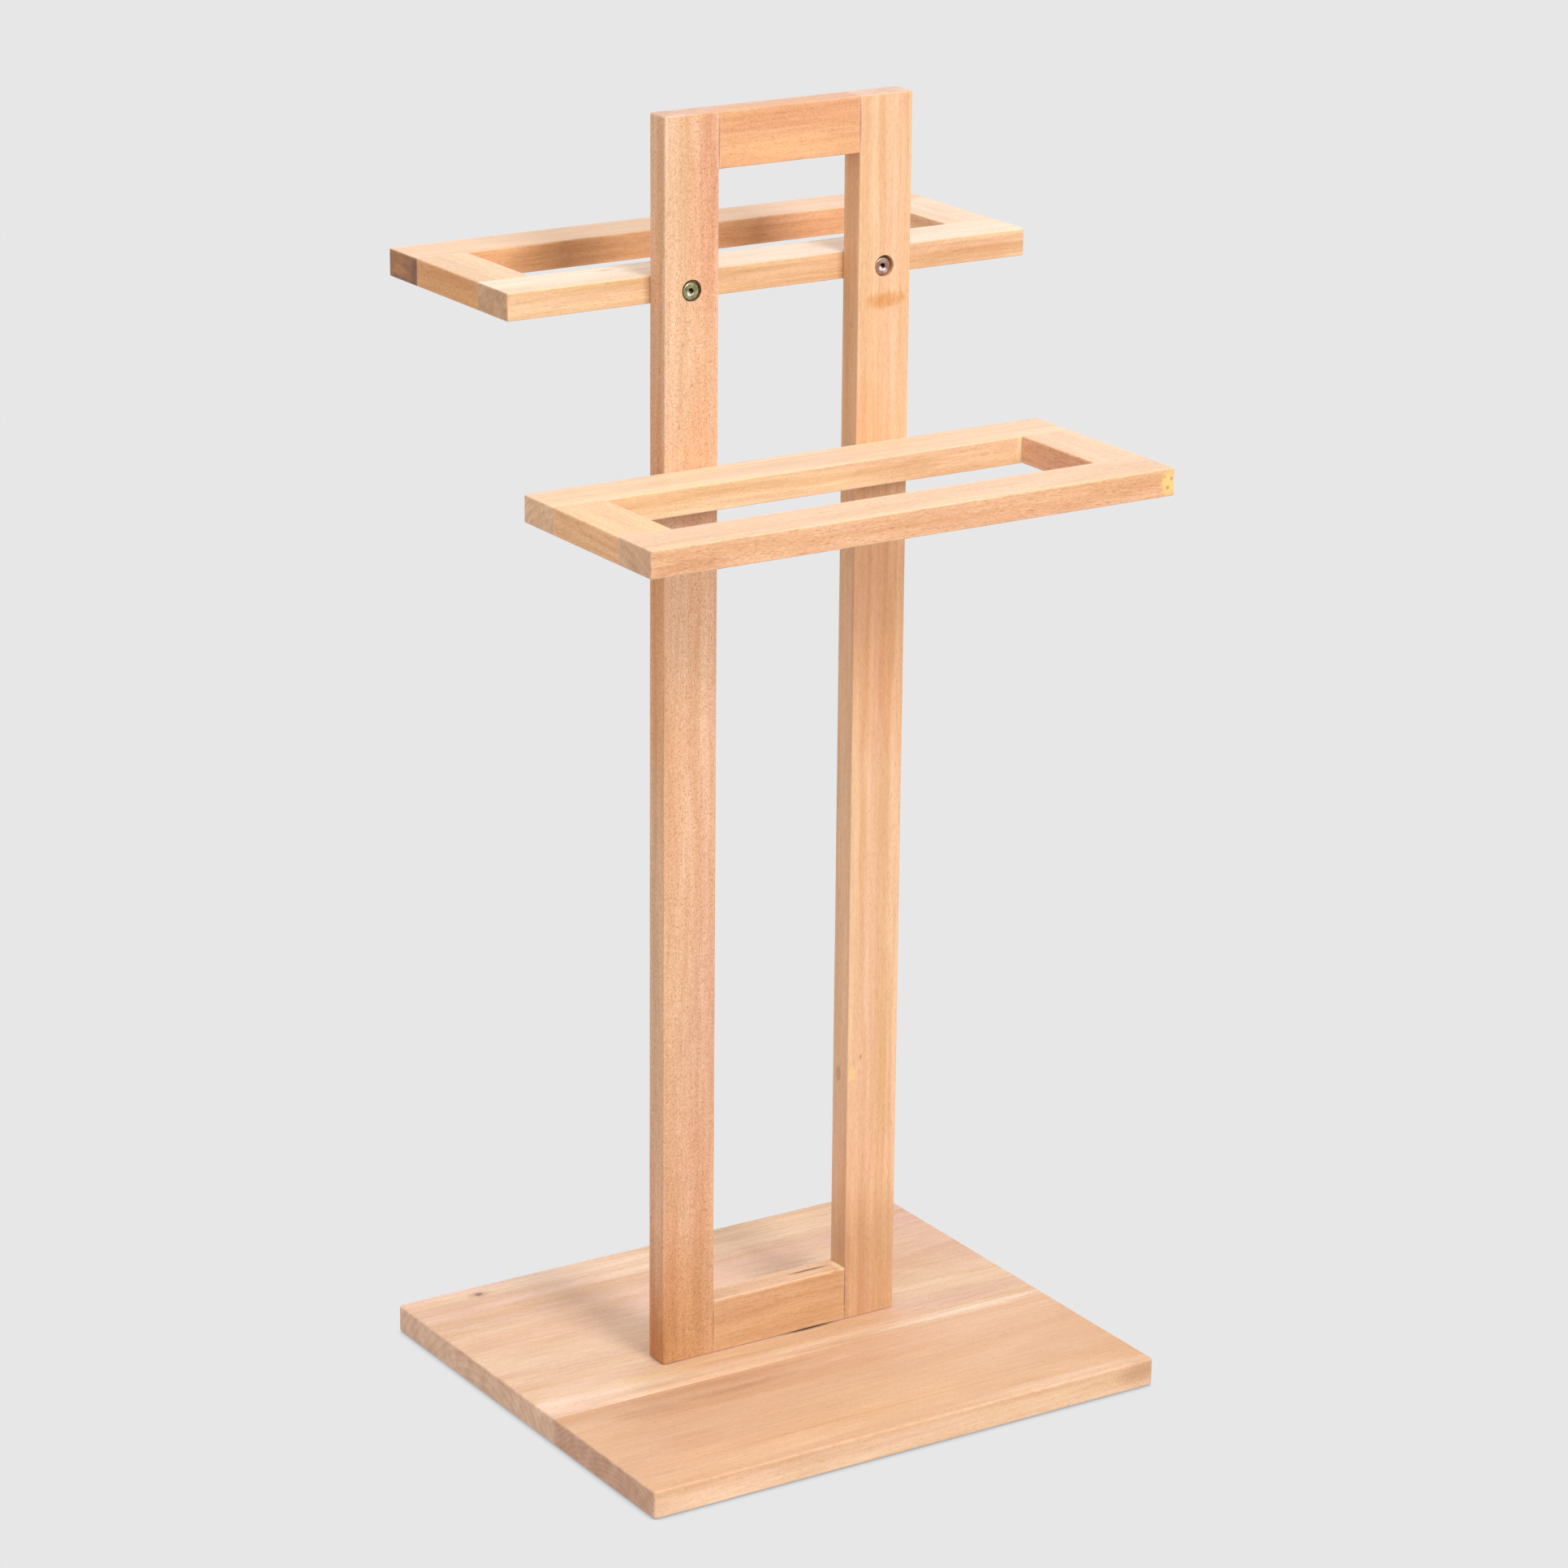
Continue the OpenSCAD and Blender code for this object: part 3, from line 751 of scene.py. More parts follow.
thickness = left_high.y - left_low.y
for side, stile, inner_x in ((-1, stile_left, left_high.x), (1, stile_right, right_low.x)):
    holes = bolt_hole(Vector((side * bolt_x, left_low.y, upper_z)), back_way, thickness, recess_lift)
    holes += bolt_hole(Vector((side * bolt_x, left_high.y, lower_z)), -back_way, thickness)
    foot = Vector((side * bolt_x, 0, left_low.z))
    holes.append(plain_hole(foot, up_way, insert_hole_depth, insert_hole_radius))
    drill(stile, holes)
    into_stile = right_way * side
    for rail, low, high in ((top_rail, top_low, top_high), (foot_rail, foot_low, foot_high)):
        for step in (-dowel_step, dowel_step):
            seam = Vector((inner_x, 0, (low.z + high.z) / 2 + step))
            drill(stile, [plain_hole(seam, into_stile, dowel_in_edge, dowel_hole_radius)])
            drill(rail, [plain_hole(seam, -into_stile, dowel_in_end, dowel_hole_radius)])

hollow_radius = 480 * MM
hollow_depth = 1.0 * MM
hollow_x = 27 * MM
hollow_length = 14 * MM
hollow_middle = 5 * MM
hollow_facets = 360
choose()
bpy.ops.mesh.primitive_cylinder_add(
    vertices=hollow_facets, radius=hollow_radius, depth=hollow_length, rotation=(math.pi / 2, 0, 0),
    location=(hollow_x, foot_low.y + hollow_middle, foot_low.z + hollow_depth - hollow_radius))
bpy.ops.object.transform_apply()
cut(foot_rail, bpy.context.object)

glue_grey = (0.30, 0.19, 0.14)
hairline_brown = (0.45, 0.22, 0.12)
hairline_dark = (0.40, 0.20, 0.12)

# The left stile: a hairline at each joint, painted shade at the foot and under the lower
# frame, and bands of tone down its outer side and its front
left_marks = [
    spot((-53.8, -9, 862), (0.8, 3, 20), hairline_brown, 0.5, 0.8, (0.6, 0.6, 0.6)),
    spot((-53.8, -9, 40), (0.8, 3, 20), hairline_brown, 0.4, 0.8, (0.6, 0.6, 0.6)),
    # Painted shade at the foot, here and in the low marks on the outer side and the front
    stain((-74, 0, 30), (80, 60, 105), (0.86, 0.76, 0.63), 1.0, 0.4, (0.05, 0.05, 0.03)),
    stain((-74, 0, 170), (80, 60, 260), (0.93, 0.92, 0.89), 1.0, 0.4, (0.05, 0.05, 0.02)),
    stain((-94, 0, 8), (3, 16, 80), (0.80, 0.60, 0.38), 1.0, 0.4, (0.05, 0.1, 0.03)),
    stain((-94, 0, 180), (3, 16, 150), (1.05, 1.06, 1.08), 1.0, 0.4, (0.05, 0.1, 0.03)),
    stain((-94, 0, 560), (3, 16, 190), (0.95, 0.79, 0.60), 1.0, 0.5, (0.05, 0.1, 0.02)),
    stain((-87, -9.5, 20), (17, 4, 60), (0.88, 0.86, 0.82), 0.9, 0.5, (0.2, 0.1, 0.03)),
    stain((-62, -9.5, 40), (17, 4, 80), (0.98, 1.08, 1.10), 0.9, 0.5, (0.2, 0.1, 0.03)),
    # Painted shade under the lower frame
    stain((-87, -9.5, 450), (17, 4, 150), (0.96, 0.90, 0.86), 0.9, 0.6, (0.2, 0.1, 0.02)),
    stain((-87, -9.5, 740), (17, 4, 330), (1.03, 1.16, 1.28), 0.9, 0.6, (0.2, 0.1, 0.01)),
    stain((-62, -9.5, 830), (13, 4, 120), (0.91, 0.80, 0.78), 0.9, 0.7, (0.2, 0.1, 0.02)),
    stain((-64, -9.5, 560), (12, 4, 170), (1.02, 1.05, 1.07), 0.9, 0.7, (0.2, 0.1, 0.02)),
    stain((-70, -9, 350), (14, 6, 200), (1.04, 1.06, 1.14), 0.6, 0.9, (0.1, 0.1, 0.01))]

# The right stile: painted shade in the counterbore, a hairline at the top joint and a torn glue line at
# the foot, painted shade at the foot and under the lower frame, a small knot with filler, a faint smudge
# and bands of tone
right_marks = [
    # Painted shade on the counterbore's wall
    spot((75.5, -4.6, 767.5), (8.6, 2.6, 8.6), (0.16, 0.05, 0.02), 0.9, 0.3),
    spot((53.8, -9, 862), (0.9, 3, 20), hairline_dark, 0.55, 0.9, (0.6, 0.6, 0.6)),
    spot((53.8, -9, 39), (0.7, 3, 26), glue_grey, 0.6, 1.8, (0.9, 0.9, 0.3), 1.5),
    # Painted shade at the foot
    stain((74, 0, 34), (80, 60, 105), (0.80, 0.76, 0.69), 1.0, 0.4, (0.05, 0.05, 0.03)),
    # Painted shade under the lower frame
    stain((74, -9.5, 520), (60, 5, 110), (0.93, 0.82, 0.76), 0.9, 0.6, (0.1, 0.1, 0.02)),
    stain((61, -9.5, 765), (15, 4, 95), (1.02, 1.08, 1.14), 0.9, 0.6, (0.1, 0.1, 0.02)),
    spot((64, -9.5, 214), (1.6, 3, 2.2), (0.45, 0.24, 0.17), 0.75, 0.6, (0.6, 0.6, 0.6), 0.6),
    spot((57, -9.5, 203), (4.5, 5, 9), (0.92, 0.62, 0.26), 0.6, 0.9, (0.25, 0.3, 0.2)),
    spot((53.5, 2, 200), (3, 4, 8), (0.50, 0.27, 0.17), 0.6, 1.0, (0.3, 0.3, 0.2)),
    stain((75, -9.5, 743.5), (20, 2.5, 6.8), (0.96, 0.86, 0.70), 1.0, 0.7, (0.4, 0.3, 0.1)),
    stain((74, -9.5, 743), (18, 2.5, 7.5), (0.90, 0.78, 0.62), 0.9, 2.2, (0.8, 0.3, 0.14)),
    stain((74, -8, 300), (20, 6, 90), (1.05, 1.10, 1.14), 0.6, 0.8, (0.06, 0.1, 0.01))]

# The top rail: a hairline at each joint and a paler middle
top_marks = [
    spot((-53.3, -9, 862), (0.7, 3, 20), hairline_brown, 0.5, 0.8, (0.6, 0.6, 0.6)),
    spot((53.3, -9, 862), (0.8, 3, 20), hairline_dark, 0.55, 0.9, (0.6, 0.6, 0.6)),
    stain((0, -9, 852), (60, 4, 9), (1.10, 1.14, 1.10), 0.7)]

# The foot rail: a paler top edge with a crack, a hairline and a torn glue line at the
# joints, painted shade along its lower edge and in the gap under it, and a yellow patch by the right
# joint
foot_marks = [
    stain((0, 0, 59), (120, 30, 3), (1.18, 1.25, 1.38), 1.0, 0.3, (0.05, 0.1, 0.1)),
    spot((-53.3, -9, 40), (0.7, 3, 20), hairline_brown, 0.4, 0.8, (0.6, 0.6, 0.6)),
    spot((53.2, -9, 39), (0.6, 3, 26), glue_grey, 0.6, 1.2, (0.9, 0.9, 0.25), 1.5),
    spot((0, -9.5, 20), (90, 3, 0.8), (0.30, 0.14, 0.07), 0.6, 0.8, (0.1, 0.3, 0.8)),
    spot((30, 0.8, 59), (21, 1.8, 3), (0.24, 0.09, 0.04), 1.0, 0.8, (0.12, 0.8, 0.8), 2.5),
    spot((-33, -3, 59), (8, 0.9, 2), hairline_brown, 0.5, 1.0, (0.2, 0.8, 0.8)),
    spot((24, -4, 20), (29, 7, 1.3), gap_shade, 0.9, 0.3, (0.1, 0.3, 0.3)),
    spot((51, -2, 59), (3.5, 10, 4), (0.93, 0.76, 0.40), 0.65, 0.8, (0.3, 0.2, 0.3))]
left_figure = {
    "Grain cell": (1.6, 0.75, 0.75), "Grain strength": 1.5, "Ripple": 0.2, "Curl": 1.8,
    "Ring strength": 0.1, "Streak strength": 0.45}
right_figure = {
    "Grain cell": (4.2, 0.6, 0.6), "Grain strength": 0.6, "Ring strength": 0.1, "Streak strength": 0.4}
top_figure = {"Grain cell": (1.8, 0.55, 0.55), "Grain strength": 0.9, "Ripple": 0.1, "Curl": 1.5}
foot_figure = {"Grain cell": (4.0, 0.5, 0.5), "Streak strength": 0.7}
# Painted light and shade on the upper counterbore walls: dark in the left one, lit tan in the right
right_bore_shading_placeholder_unused = ((-bolt_x / MM, -9.5, upper_z / MM), (0.20, 0.07, 0.03))
right_bore_shading = ((bolt_x / MM, -9.5, upper_z / MM), (0.72, 0.38, 0.17))
plain_end = (1.0, 1.0, 1.0)
left_wood = oiled_wood(
    "left_stile_wood", left_low, left_high, GRAIN_Z, heart=(0, 30, 48), wash=(0.96, 0.94, 0.95),
    end_wash=(1.24, 1.11, 1.08), figure=left_figure, marks=left_marks, bore_shading=[right_bore_shading_placeholder_unused])
fit(stile_left, left_wood, "left_stile_wood", "stile_left")
right_wood = oiled_wood(
    "right_stile_wood", right_low, right_high, GRAIN_Z, heart=(40, 60, 20), wash=(0.98, 0.99, 0.96),
    end_wash=(1.28, 1.24, 1.26), figure=right_figure, marks=right_marks, bore_shading=[right_bore_shading])
fit(stile_right, right_wood, "right_stile_wood", "stile_right")
top_wood = oiled_wood(
    "upper_rail_wood", top_low, top_high, GRAIN_X_UPRIGHT, heart=(0, 40, 60),
    wash=(0.90, 0.76, 0.62), end_wash=plain_end, figure=top_figure, marks=top_marks)
fit(top_rail, top_wood, "cross_rail_wood", "top_rail")
foot_wood = oiled_wood(
    "lower_rail_wood", foot_low, foot_high, GRAIN_X_UPRIGHT, heart=(300, 40, 60),
    wash=(0.80, 0.77, 0.69), end_wash=plain_end, figure=foot_figure, marks=foot_marks)
fit(foot_rail, foot_wood, "cross_rail_wood", "bottom_rail")

# Towel frames: two long bars with an end bar dowelled between them at each side. The long
# bars run the full width, so that their end grain shows at the corners. Each frame is
# bolted to the stiles through threaded inserts in the face that lies against them.

frame_bars = ("_inner_bar", "_outer_bar", "_end_bar_left", "_end_bar_right")


def towel_frame(level, outwards):
    """Both long bars and both end bars of one frame. Outwards is 1 to the back, -1 to the front."""
    (inner_low, inner_high), (outer_low, outer_high), (left_low, left_high), (right_low, right_high) = [
        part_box(level + bar) for bar in frame_bars]
    low = Vector((inner_low.x, min(inner_low.y, outer_low.y), inner_low.z))
    high = Vector((inner_high.x, max(inner_high.y, outer_high.y), inner_high.z))
    slot_low = Vector((left_high.x, left_low.y, low.z))
    slot_high = Vector((right_low.x, left_high.y, high.z))
    blank = ladder(level + "_blank", low, high, slot_low, slot_high, 2)
    near, far = (slot_low.y, slot_high.y)[::outwards]
    between = ((1, slot_low.y, 1), (1, slot_high.y, -1))
    inner = saw(blank, level + "_near_bar", (1, near, -outwards))
    outer = saw(blank, level + "_far_bar", (1, far, outwards))
    left = saw(blank, level + "_left_end", *between, (0, 0.0, -1))
    right = saw(blank, level + "_right_end", *between, (0, 0.0, 1))
    bpy.data.objects.remove(blank)

    middle = (low.z + high.z) / 2
    seat = low.y if outwards > 0 else high.y
    way = back_way * outwards
    left_x = (left_low.x + left_high.x) / 2
    right_x = (right_low.x + right_high.x) / 2
    for side, end_bar, end_x in ((-1, left, left_x), (1, right, right_x)):
        place = Vector((side * bolt_x, seat, middle))
        drill(inner, [plain_hole(place, way, insert_hole_depth, insert_hole_radius)])
        for step in (-dowel_step, dowel_step):
            for bar, joint_y, into in ((inner, near, way), (outer, far, -way)):
                seam = Vector((end_x + step, joint_y, middle))
                drill(bar, [plain_hole(seam, -into, dowel_in_edge, dowel_hole_radius)])
                drill(end_bar, [plain_hole(seam, into, dowel_in_end, dowel_hole_radius)])
    return inner, outer, left, right


fine = {"Grain strength": 0.55, "Saw strength": 0.9}
dashed = {"Grain cell": (4.0, 0.65, 0.65), "Grain strength": 1.1}

# Each bar's heart, wash, end wash and figure
board_finish = {
    "upper_inner_bar": ((200, 24, 60), (0.99, 1.10, 1.05), (1.01, 0.84, 0.62), fine),
    "upper_outer_bar": ((500, -16, 72), (0.97, 0.87, 0.74), (0.545, 0.304, 0.113), fine),
    "upper_end_bar_left": ((0, 34, 80), (0.95, 0.84, 0.56), plain_end, dashed),
    "upper_end_bar_right": ((100, 34, 80), (1.0, 1.0, 0.96), plain_end, dashed),
    "lower_inner_bar": ((900, 34, 55), (1.01, 1.05, 0.98), (1.27, 1.16, 0.96), fine),
    "lower_outer_bar": ((1300, -26, 66), (0.92, 0.86, 0.77), (1.16, 1.02, 0.82), dashed),
    "lower_end_bar_left": ((300, 24, 70), (1.06, 0.95, 0.72), plain_end, dashed),
    "lower_end_bar_right": ((400, 24, 70), (1.07, 0.99, 0.99), plain_end, dashed)}
filler_amber = (0.97, 0.60, 0.22)
filler_speck = (0.55, 0.26, 0.08)

# The bars: paler or darker tops and sides, painted shadows of the stiles on the upper outer
# bar's inner face, a small dark fleck on the upper inner bar, uneven end grain on the upper
# outer bar, and the filler with its specks at the right end of the lower outer bar
board_marks = {
    "upper_inner_bar": [
        stain((0, 28, 774.7), (320, 40, 2), (1.0, 1.01, 1.24), 1.0, 0.4),
        stain((80, 9.5, 765), (200, 3, 22), (0.94, 0.86, 0.83), 1.0, 0.6),
        stain((160, 9.5, 763), (75, 3, 9), (0.90, 0.80, 0.76), 0.8, 1.4, (0.03, 0.3, 0.3)),
        stain((-112, 36, 774.7), (11, 5, 3), (0.82, 0.72, 0.62), 0.8, 1.0, (0.25, 0.4, 0.4)),
        spot((-111, 37, 774.7), (7, 1.3, 3), (0.40, 0.19, 0.10), 0.7, 1.4, (0.4, 0.7, 0.7))],
    "upper_outer_bar": [
        stain((-198.5, 154, 763), (3, 14, 5), (1.35, 1.36, 1.30), 1.0, 1.0, (0.3, 0.1, 0.3)),
        stain((-198.5, 146, 770), (3, 18, 3), (1.22, 1.22, 1.16), 0.9, 1.4, (0.3, 0.1, 0.5)),
        stain((-198.5, 131, 765), (3, 8, 12), (0.62, 0.55, 0.46), 0.9, 1.0, (0.3, 0.1, 0.3)),
        stain((-198.5, 148, 757), (3, 26, 2.5), (0.66, 0.60, 0.52), 0.9, 0.8, (0.3, 0.1, 0.3)),
        # Painted shadows of the two stiles on the inner face
        stain((50, 128.5, 765), (34, 3, 16), (0.88, 0.83, 0.77), 0.9, 0.7, (0.03, 0.1, 0.1)),
        stain((-90, 128.5, 765), (60, 3, 16), (0.76, 0.71, 0.64), 0.9, 0.7, (0.03, 0.1, 0.1))],
    "upper_end_bar_left": [
        stain((-179, 88, 774.7), (40, 70, 2), (1.0, 1.05, 1.14), 1.0, 0.4, (0.1, 0.03, 0.1)),
        stain((-198.5, 88, 765), (3, 80, 20), (0.95, 0.81, 0.58), 1.0, 0.4, (0.1, 0.03, 0.1))],
    "lower_inner_bar": [
        spot((158.5, -47.5, 640), (3.2, 3, 14), (0.92, 0.72, 0.40), 0.6, 1.0, (0.4, 0.3, 0.12)),
        stain((60, -47.5, 640), (50, 4, 8), (0.86, 0.78, 0.70), 0.6, 1.4, (0.08, 0.3, 0.3)),
        stain((110, -47.5, 640), (90, 4, 20), (0.95, 0.90, 0.90), 0.9, 0.8, (0.03, 0.1, 0.1)),
        stain((-120, -28, 648.7), (120, 40, 2), (1.01, 1.05, 1.07), 1.0, 0.4),
        stain((130, -28, 648.7), (110, 40, 2), (0.99, 0.96, 0.93), 1.0, 0.4)],
    "lower_outer_bar": [
        spot((193.5, -166.5, 639.5), (9.5, 2.5, 12), (0.80, 0.40, 0.15), 0.7),
        spot((193.7, -166.5, 639.5), (8, 2.5, 10.5), filler_amber, 0.95, 0.6, (0.4, 0.4, 0.4)),
        spot((193.7, -166.5, 639.5), (7, 2.5, 9.5), filler_amber, 0.9, 0.4, (0.4, 0.4, 0.4)),
        spot((192.5, -166.5, 636), (2.2, 2, 1.8), filler_speck, 0.85, 1.0, (0.9, 0.9, 0.9), 1.0),
        spot((195.5, -166.5, 642), (1.6, 2, 1.8), filler_speck, 0.8, 1.0, (0.9, 0.9, 0.9), 1.0),
        spot((190, -166.5, 643.5), (1.2, 2, 1.2), (0.60, 0.30, 0.10), 0.7, 1.0, (0.9, 0.9, 0.9), 1.0),
        stain((-170, -166, 636), (36, 4, 6), (0.76, 0.64, 0.55), 0.6, 1.8, (0.06, 0.5, 0.5)),
        stain((20, -147, 648.7), (150, 40, 2), (1.0, 1.05, 1.06), 1.0, 0.4),
        stain((90, -166.5, 640), (170, 3, 20), (0.97, 0.94, 0.94))],
    "lower_end_bar_right": [
        stain((160.6, -90, 640), (3, 50, 14), (0.86, 0.79, 0.73), 0.7, 1.4, (0.2, 0.1, 0.3))]}
# Painted top light: every frame bar's top face is made paler and bluer, standing in for the light and
# sheen that fall on the tops
painted_top_light = (1.10, 1.20, 1.20)
painted_top_light_half = (600, 120, 1.7)
painted_top_light_ragged = 0.3
frame_haze = 0.7

for level, outwards in (("upper", 1), ("lower", -1)):
    for i, bar in enumerate(towel_frame(level, outwards)):
        part = level + frame_bars[i]
        low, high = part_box(part)
        heart, wash, end_wash, figure = board_finish[part]
        top = Vector(((low.x + high.x) / 2, (low.y + high.y) / 2, high.z)) / MM
        painted_top = stain(top, painted_top_light_half, painted_top_light, share=1.0, ragged=painted_top_light_ragged)
        slot, grain = (level + "_frame_wood", GRAIN_X) if i < 2 else ("end_bar_wood", GRAIN_Y)
        wood = oiled_wood(part + "_wood", low, high, grain, heart, wash, end_wash, figure,
                          [painted_top, *board_marks.get(part, ())], haze=frame_haze)
        fit(bar, wood, slot, part)

# Dowels: fluted beech pegs, rolled and cut to length, glued in every joint. They keep the
# frame's shape and only take a finish: pale wood, speckled with rays, with dry glue on it.

beech = (0.80, 0.62, 0.40)
beech_ray = (0.62, 0.40, 0.22)
dry_glue = (0.86, 0.78, 0.58)
glue_share = 0.5
speckle_grit = (1.6, 1.6, 1.6)
smear_grit = (0.25, 0.25, 0.25)
beech_relief = 0.05 * MM
peg, tree, shader, coords = new_finish("beech_peg")
here = in_millimetres(tree, coords)
speckle = cloud(tree, vector(tree, "MULTIPLY", here, speckle_grit), 3.0, 0.6)
smear = rise(tree, cloud(tree, vector(tree, "MULTIPLY", here, smear_grit)), 0.5, 0.65)
tone = tint(tree, rise(tree, speckle, 0.35, 0.7), beech, beech_ray)
tone = tint(tree, times(tree, smear, glue_share), tone, dry_glue)
coat(tree, shader, tone, rise(tree, smear, 0.0, 1.0, 0.7, 0.4), speckle, beech_relief)


def dress(finish, *cad_nodes):
    """Gives nodes that keep the frame's shape their finish."""
    for name in cad_nodes:
        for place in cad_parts[name].material_slots:
            place.material = finish


dress(peg, "top_rail_dowels", "bottom_rail_dowels", "upper_frame_dowels", "lower_frame_dowels")

# Bolts: M6 furniture bolts of cold-forged steel, with a flat, bevelled head, a hexagon
# socket, a rolled thread and a plating of yellow-green passivated zinc. Two hold each towel
# frame to the stiles, and two come up through the base into the stiles' feet.

head_facets = 64
head_bevel = 0.8 * MM
head_bevel_steps = 4
rim_width = 1.6 * MM
step_width = 0.25 * MM
step_depth = 0.06 * MM
neck = 1.0 * MM
socket_radius = 4 * MM / math.sqrt(3)
socket_depth = 3.0 * MM
socket_mouth = 2.75 * MM
mouth_narrowing = 0.4
mouth_depth = 1.2 * MM
mouth_middle = 0.55 * MM
thread_pitch = 1.0 * MM
thread_root = 2.45 * MM
thread_crest = 3.0 * MM
thread_flank = 0.44 * thread_pitch
thread_land = 0.12 * thread_pitch
thread_facets = 28
thread_lead = 1.5 * thread_pitch
thread_start = 0.8 * neck
seed_size = 0.2 * MM
hexagon = 6
thread_turns = round(bolt_length / thread_pitch) + 2


def bolt(name, place, inwards, roll):
    """One bolt with its head in the recess that starts at a place on the wood's face."""
    front = head_recess
    rear = head_recess + head_thickness
    choose()
    bpy.ops.mesh.primitive_cylinder_add(
        vertices=head_facets, radius=head_radius, depth=head_thickness,
        location=(0, 0, (front + rear) / 2))
    head = bpy.context.object
    head.name = name
    bpy.ops.object.transform_apply()
    bpy.ops.object.mode_set(mode="EDIT")
    select(head, "EDGE", lambda edge: all(abs(v.co.z - front) < touching for v in edge.verts))
    bpy.ops.mesh.bevel(offset=head_bevel, segments=head_bevel_steps, profile=0.5, affect="EDGES")
    select(head, "FACE", lambda face: face.normal.z < -nearly_straight)
    bpy.ops.mesh.inset(thickness=rim_width)
    bpy.ops.mesh.inset(thickness=step_width, depth=-step_depth)
    select(head, "FACE", lambda face: face.normal.z > nearly_straight)
    bpy.ops.mesh.inset(thickness=head_radius - thread_crest)
    bpy.ops.mesh.extrude_region_move(TRANSFORM_OT_translate={"value": (0, 0, neck)})
    bpy.ops.object.mode_set(mode="OBJECT")

    choose()
    bpy.ops.mesh.primitive_cylinder_add(
        vertices=hexagon, radius=socket_radius, depth=2 * socket_depth, location=(0, 0, front))
    bpy.ops.object.transform_apply()
    cut(head, bpy.context.object)
    choose()
    bpy.ops.mesh.primitive_cone_add(
        vertices=hole_facets, radius1=socket_mouth, radius2=mouth_narrowing * socket_mouth,
        depth=mouth_depth, location=(0, 0, front + mouth_middle), rotation=(0, 0, half_facet))
    bpy.ops.object.transform_apply()
    cut(head, bpy.context.object)

    start = rear + thread_start
    end = rear + bolt_length
    choose()
    bpy.ops.mesh.primitive_plane_add(size=seed_size)
    shank = bpy.context.object
    bpy.ops.object.mode_set(mode="EDIT")
    bpy.ops.mesh.select_mode(type="VERT")
    bpy.ops.mesh.select_all(action="SELECT")
    bpy.ops.mesh.merge(type="CENTER")
    bpy.ops.transform.translate(value=(thread_root, 0, start - thread_lead))
    rib = thread_crest - thread_root
    for across, onward in ((rib, thread_flank), (0.0, thread_land), (-rib, thread_flank)):
        bpy.ops.mesh.extrude_region_move(TRANSFORM_OT_translate={"value": (across, 0, onward)})
    bpy.ops.object.mode_set(mode="OBJECT")
    rolled = shank.modifiers.new("rolled thread", "SCREW")
    rolled.steps = thread_facets
    rolled.render_steps = thread_facets
    rolled.screw_offset = thread_pitch
    rolled.iterations = thread_turns
    rolled.use_normal_calculate = True
    apply_modifiers(shank)
    bpy.ops.object.mode_set(mode="EDIT")
    bpy.ops.mesh.select_all(action="SELECT")
    bpy.ops.mesh.remove_doubles(threshold=touching)
    slice_across(2, start, 1)
    slice_across(2, end, -1)
    bpy.ops.mesh.select_all(action="SELECT")
    bpy.ops.mesh.normals_make_consistent(inside=False)
    bpy.ops.object.mode_set(mode="OBJECT")

    choose(head, shank)
    bpy.ops.object.join()
    turned = inwards.to_track_quat("Z", "Y").to_matrix() @ Matrix.Rotation(roll, 3, "Z")
    head.rotation_euler = turned.to_euler()
    head.location = place
    bpy.ops.object.transform_apply()
    return head


plate_bare = 0.9
blush_share = 0.7
film_grit = (0.35, 0.35, 0.35)
blush_grit = (0.22, 0.22, 0.30)
turning_grit = (5.0, 5.0, 5.0)
plate_relief = 0.02 * MM


def plated_steel(name, low_tone, high_tone, pink, marks=()):
    """Passivated zinc: a clouded, iridescent film over fine turning marks. A mark can also take the metal
    away, so that a painted glint shows white.
    """
    finish, tree, shader, coords = new_finish(name)
    here = in_millimetres(tree, coords)
    film = cloud(tree, vector(tree, "MULTIPLY", here, film_grit), 3.0, 0.6)
    blush = cloud(tree, vector(tree, "MULTIPLY", here, blush_grit))
    grains = cloud(tree, vector(tree, "MULTIPLY", here, turning_grit), 2.0, 0.6)
    tone = tint(tree, rise(tree, film, 0.35, 0.65), low_tone, high_tone)
    tone = tint(tree, times(tree, rise(tree, blush, 0.45, 0.6), blush_share), tone, pink)
    metal = node(tree, "Value").outputs[0]
    metal.default_value = plate_bare
    for middle, half, patch, share, ragged, grit, glint_unmetal, blend in marks:
        mask = mark_mask(tree, here, middle, half, ragged, grit)
        tone = tint(tree, times(tree, mask, share), tone, patch, blend)
        if glint_unmetal:
            metal = reckon(tree, "MULTIPLY_ADD", mask, -glint_unmetal, metal)
    tree.links.new(metal, shader.inputs["Metallic"])
    coat(tree, shader, tone, rise(tree, film, 0.3, 0.7, 0.22, 0.36), grains, plate_relief)
    return finish


socket_shade = (0.03, 0.02, 0.012)
painted_glint = (1.0, 0.98, 0.94)
bolt_z = upper_z / MM

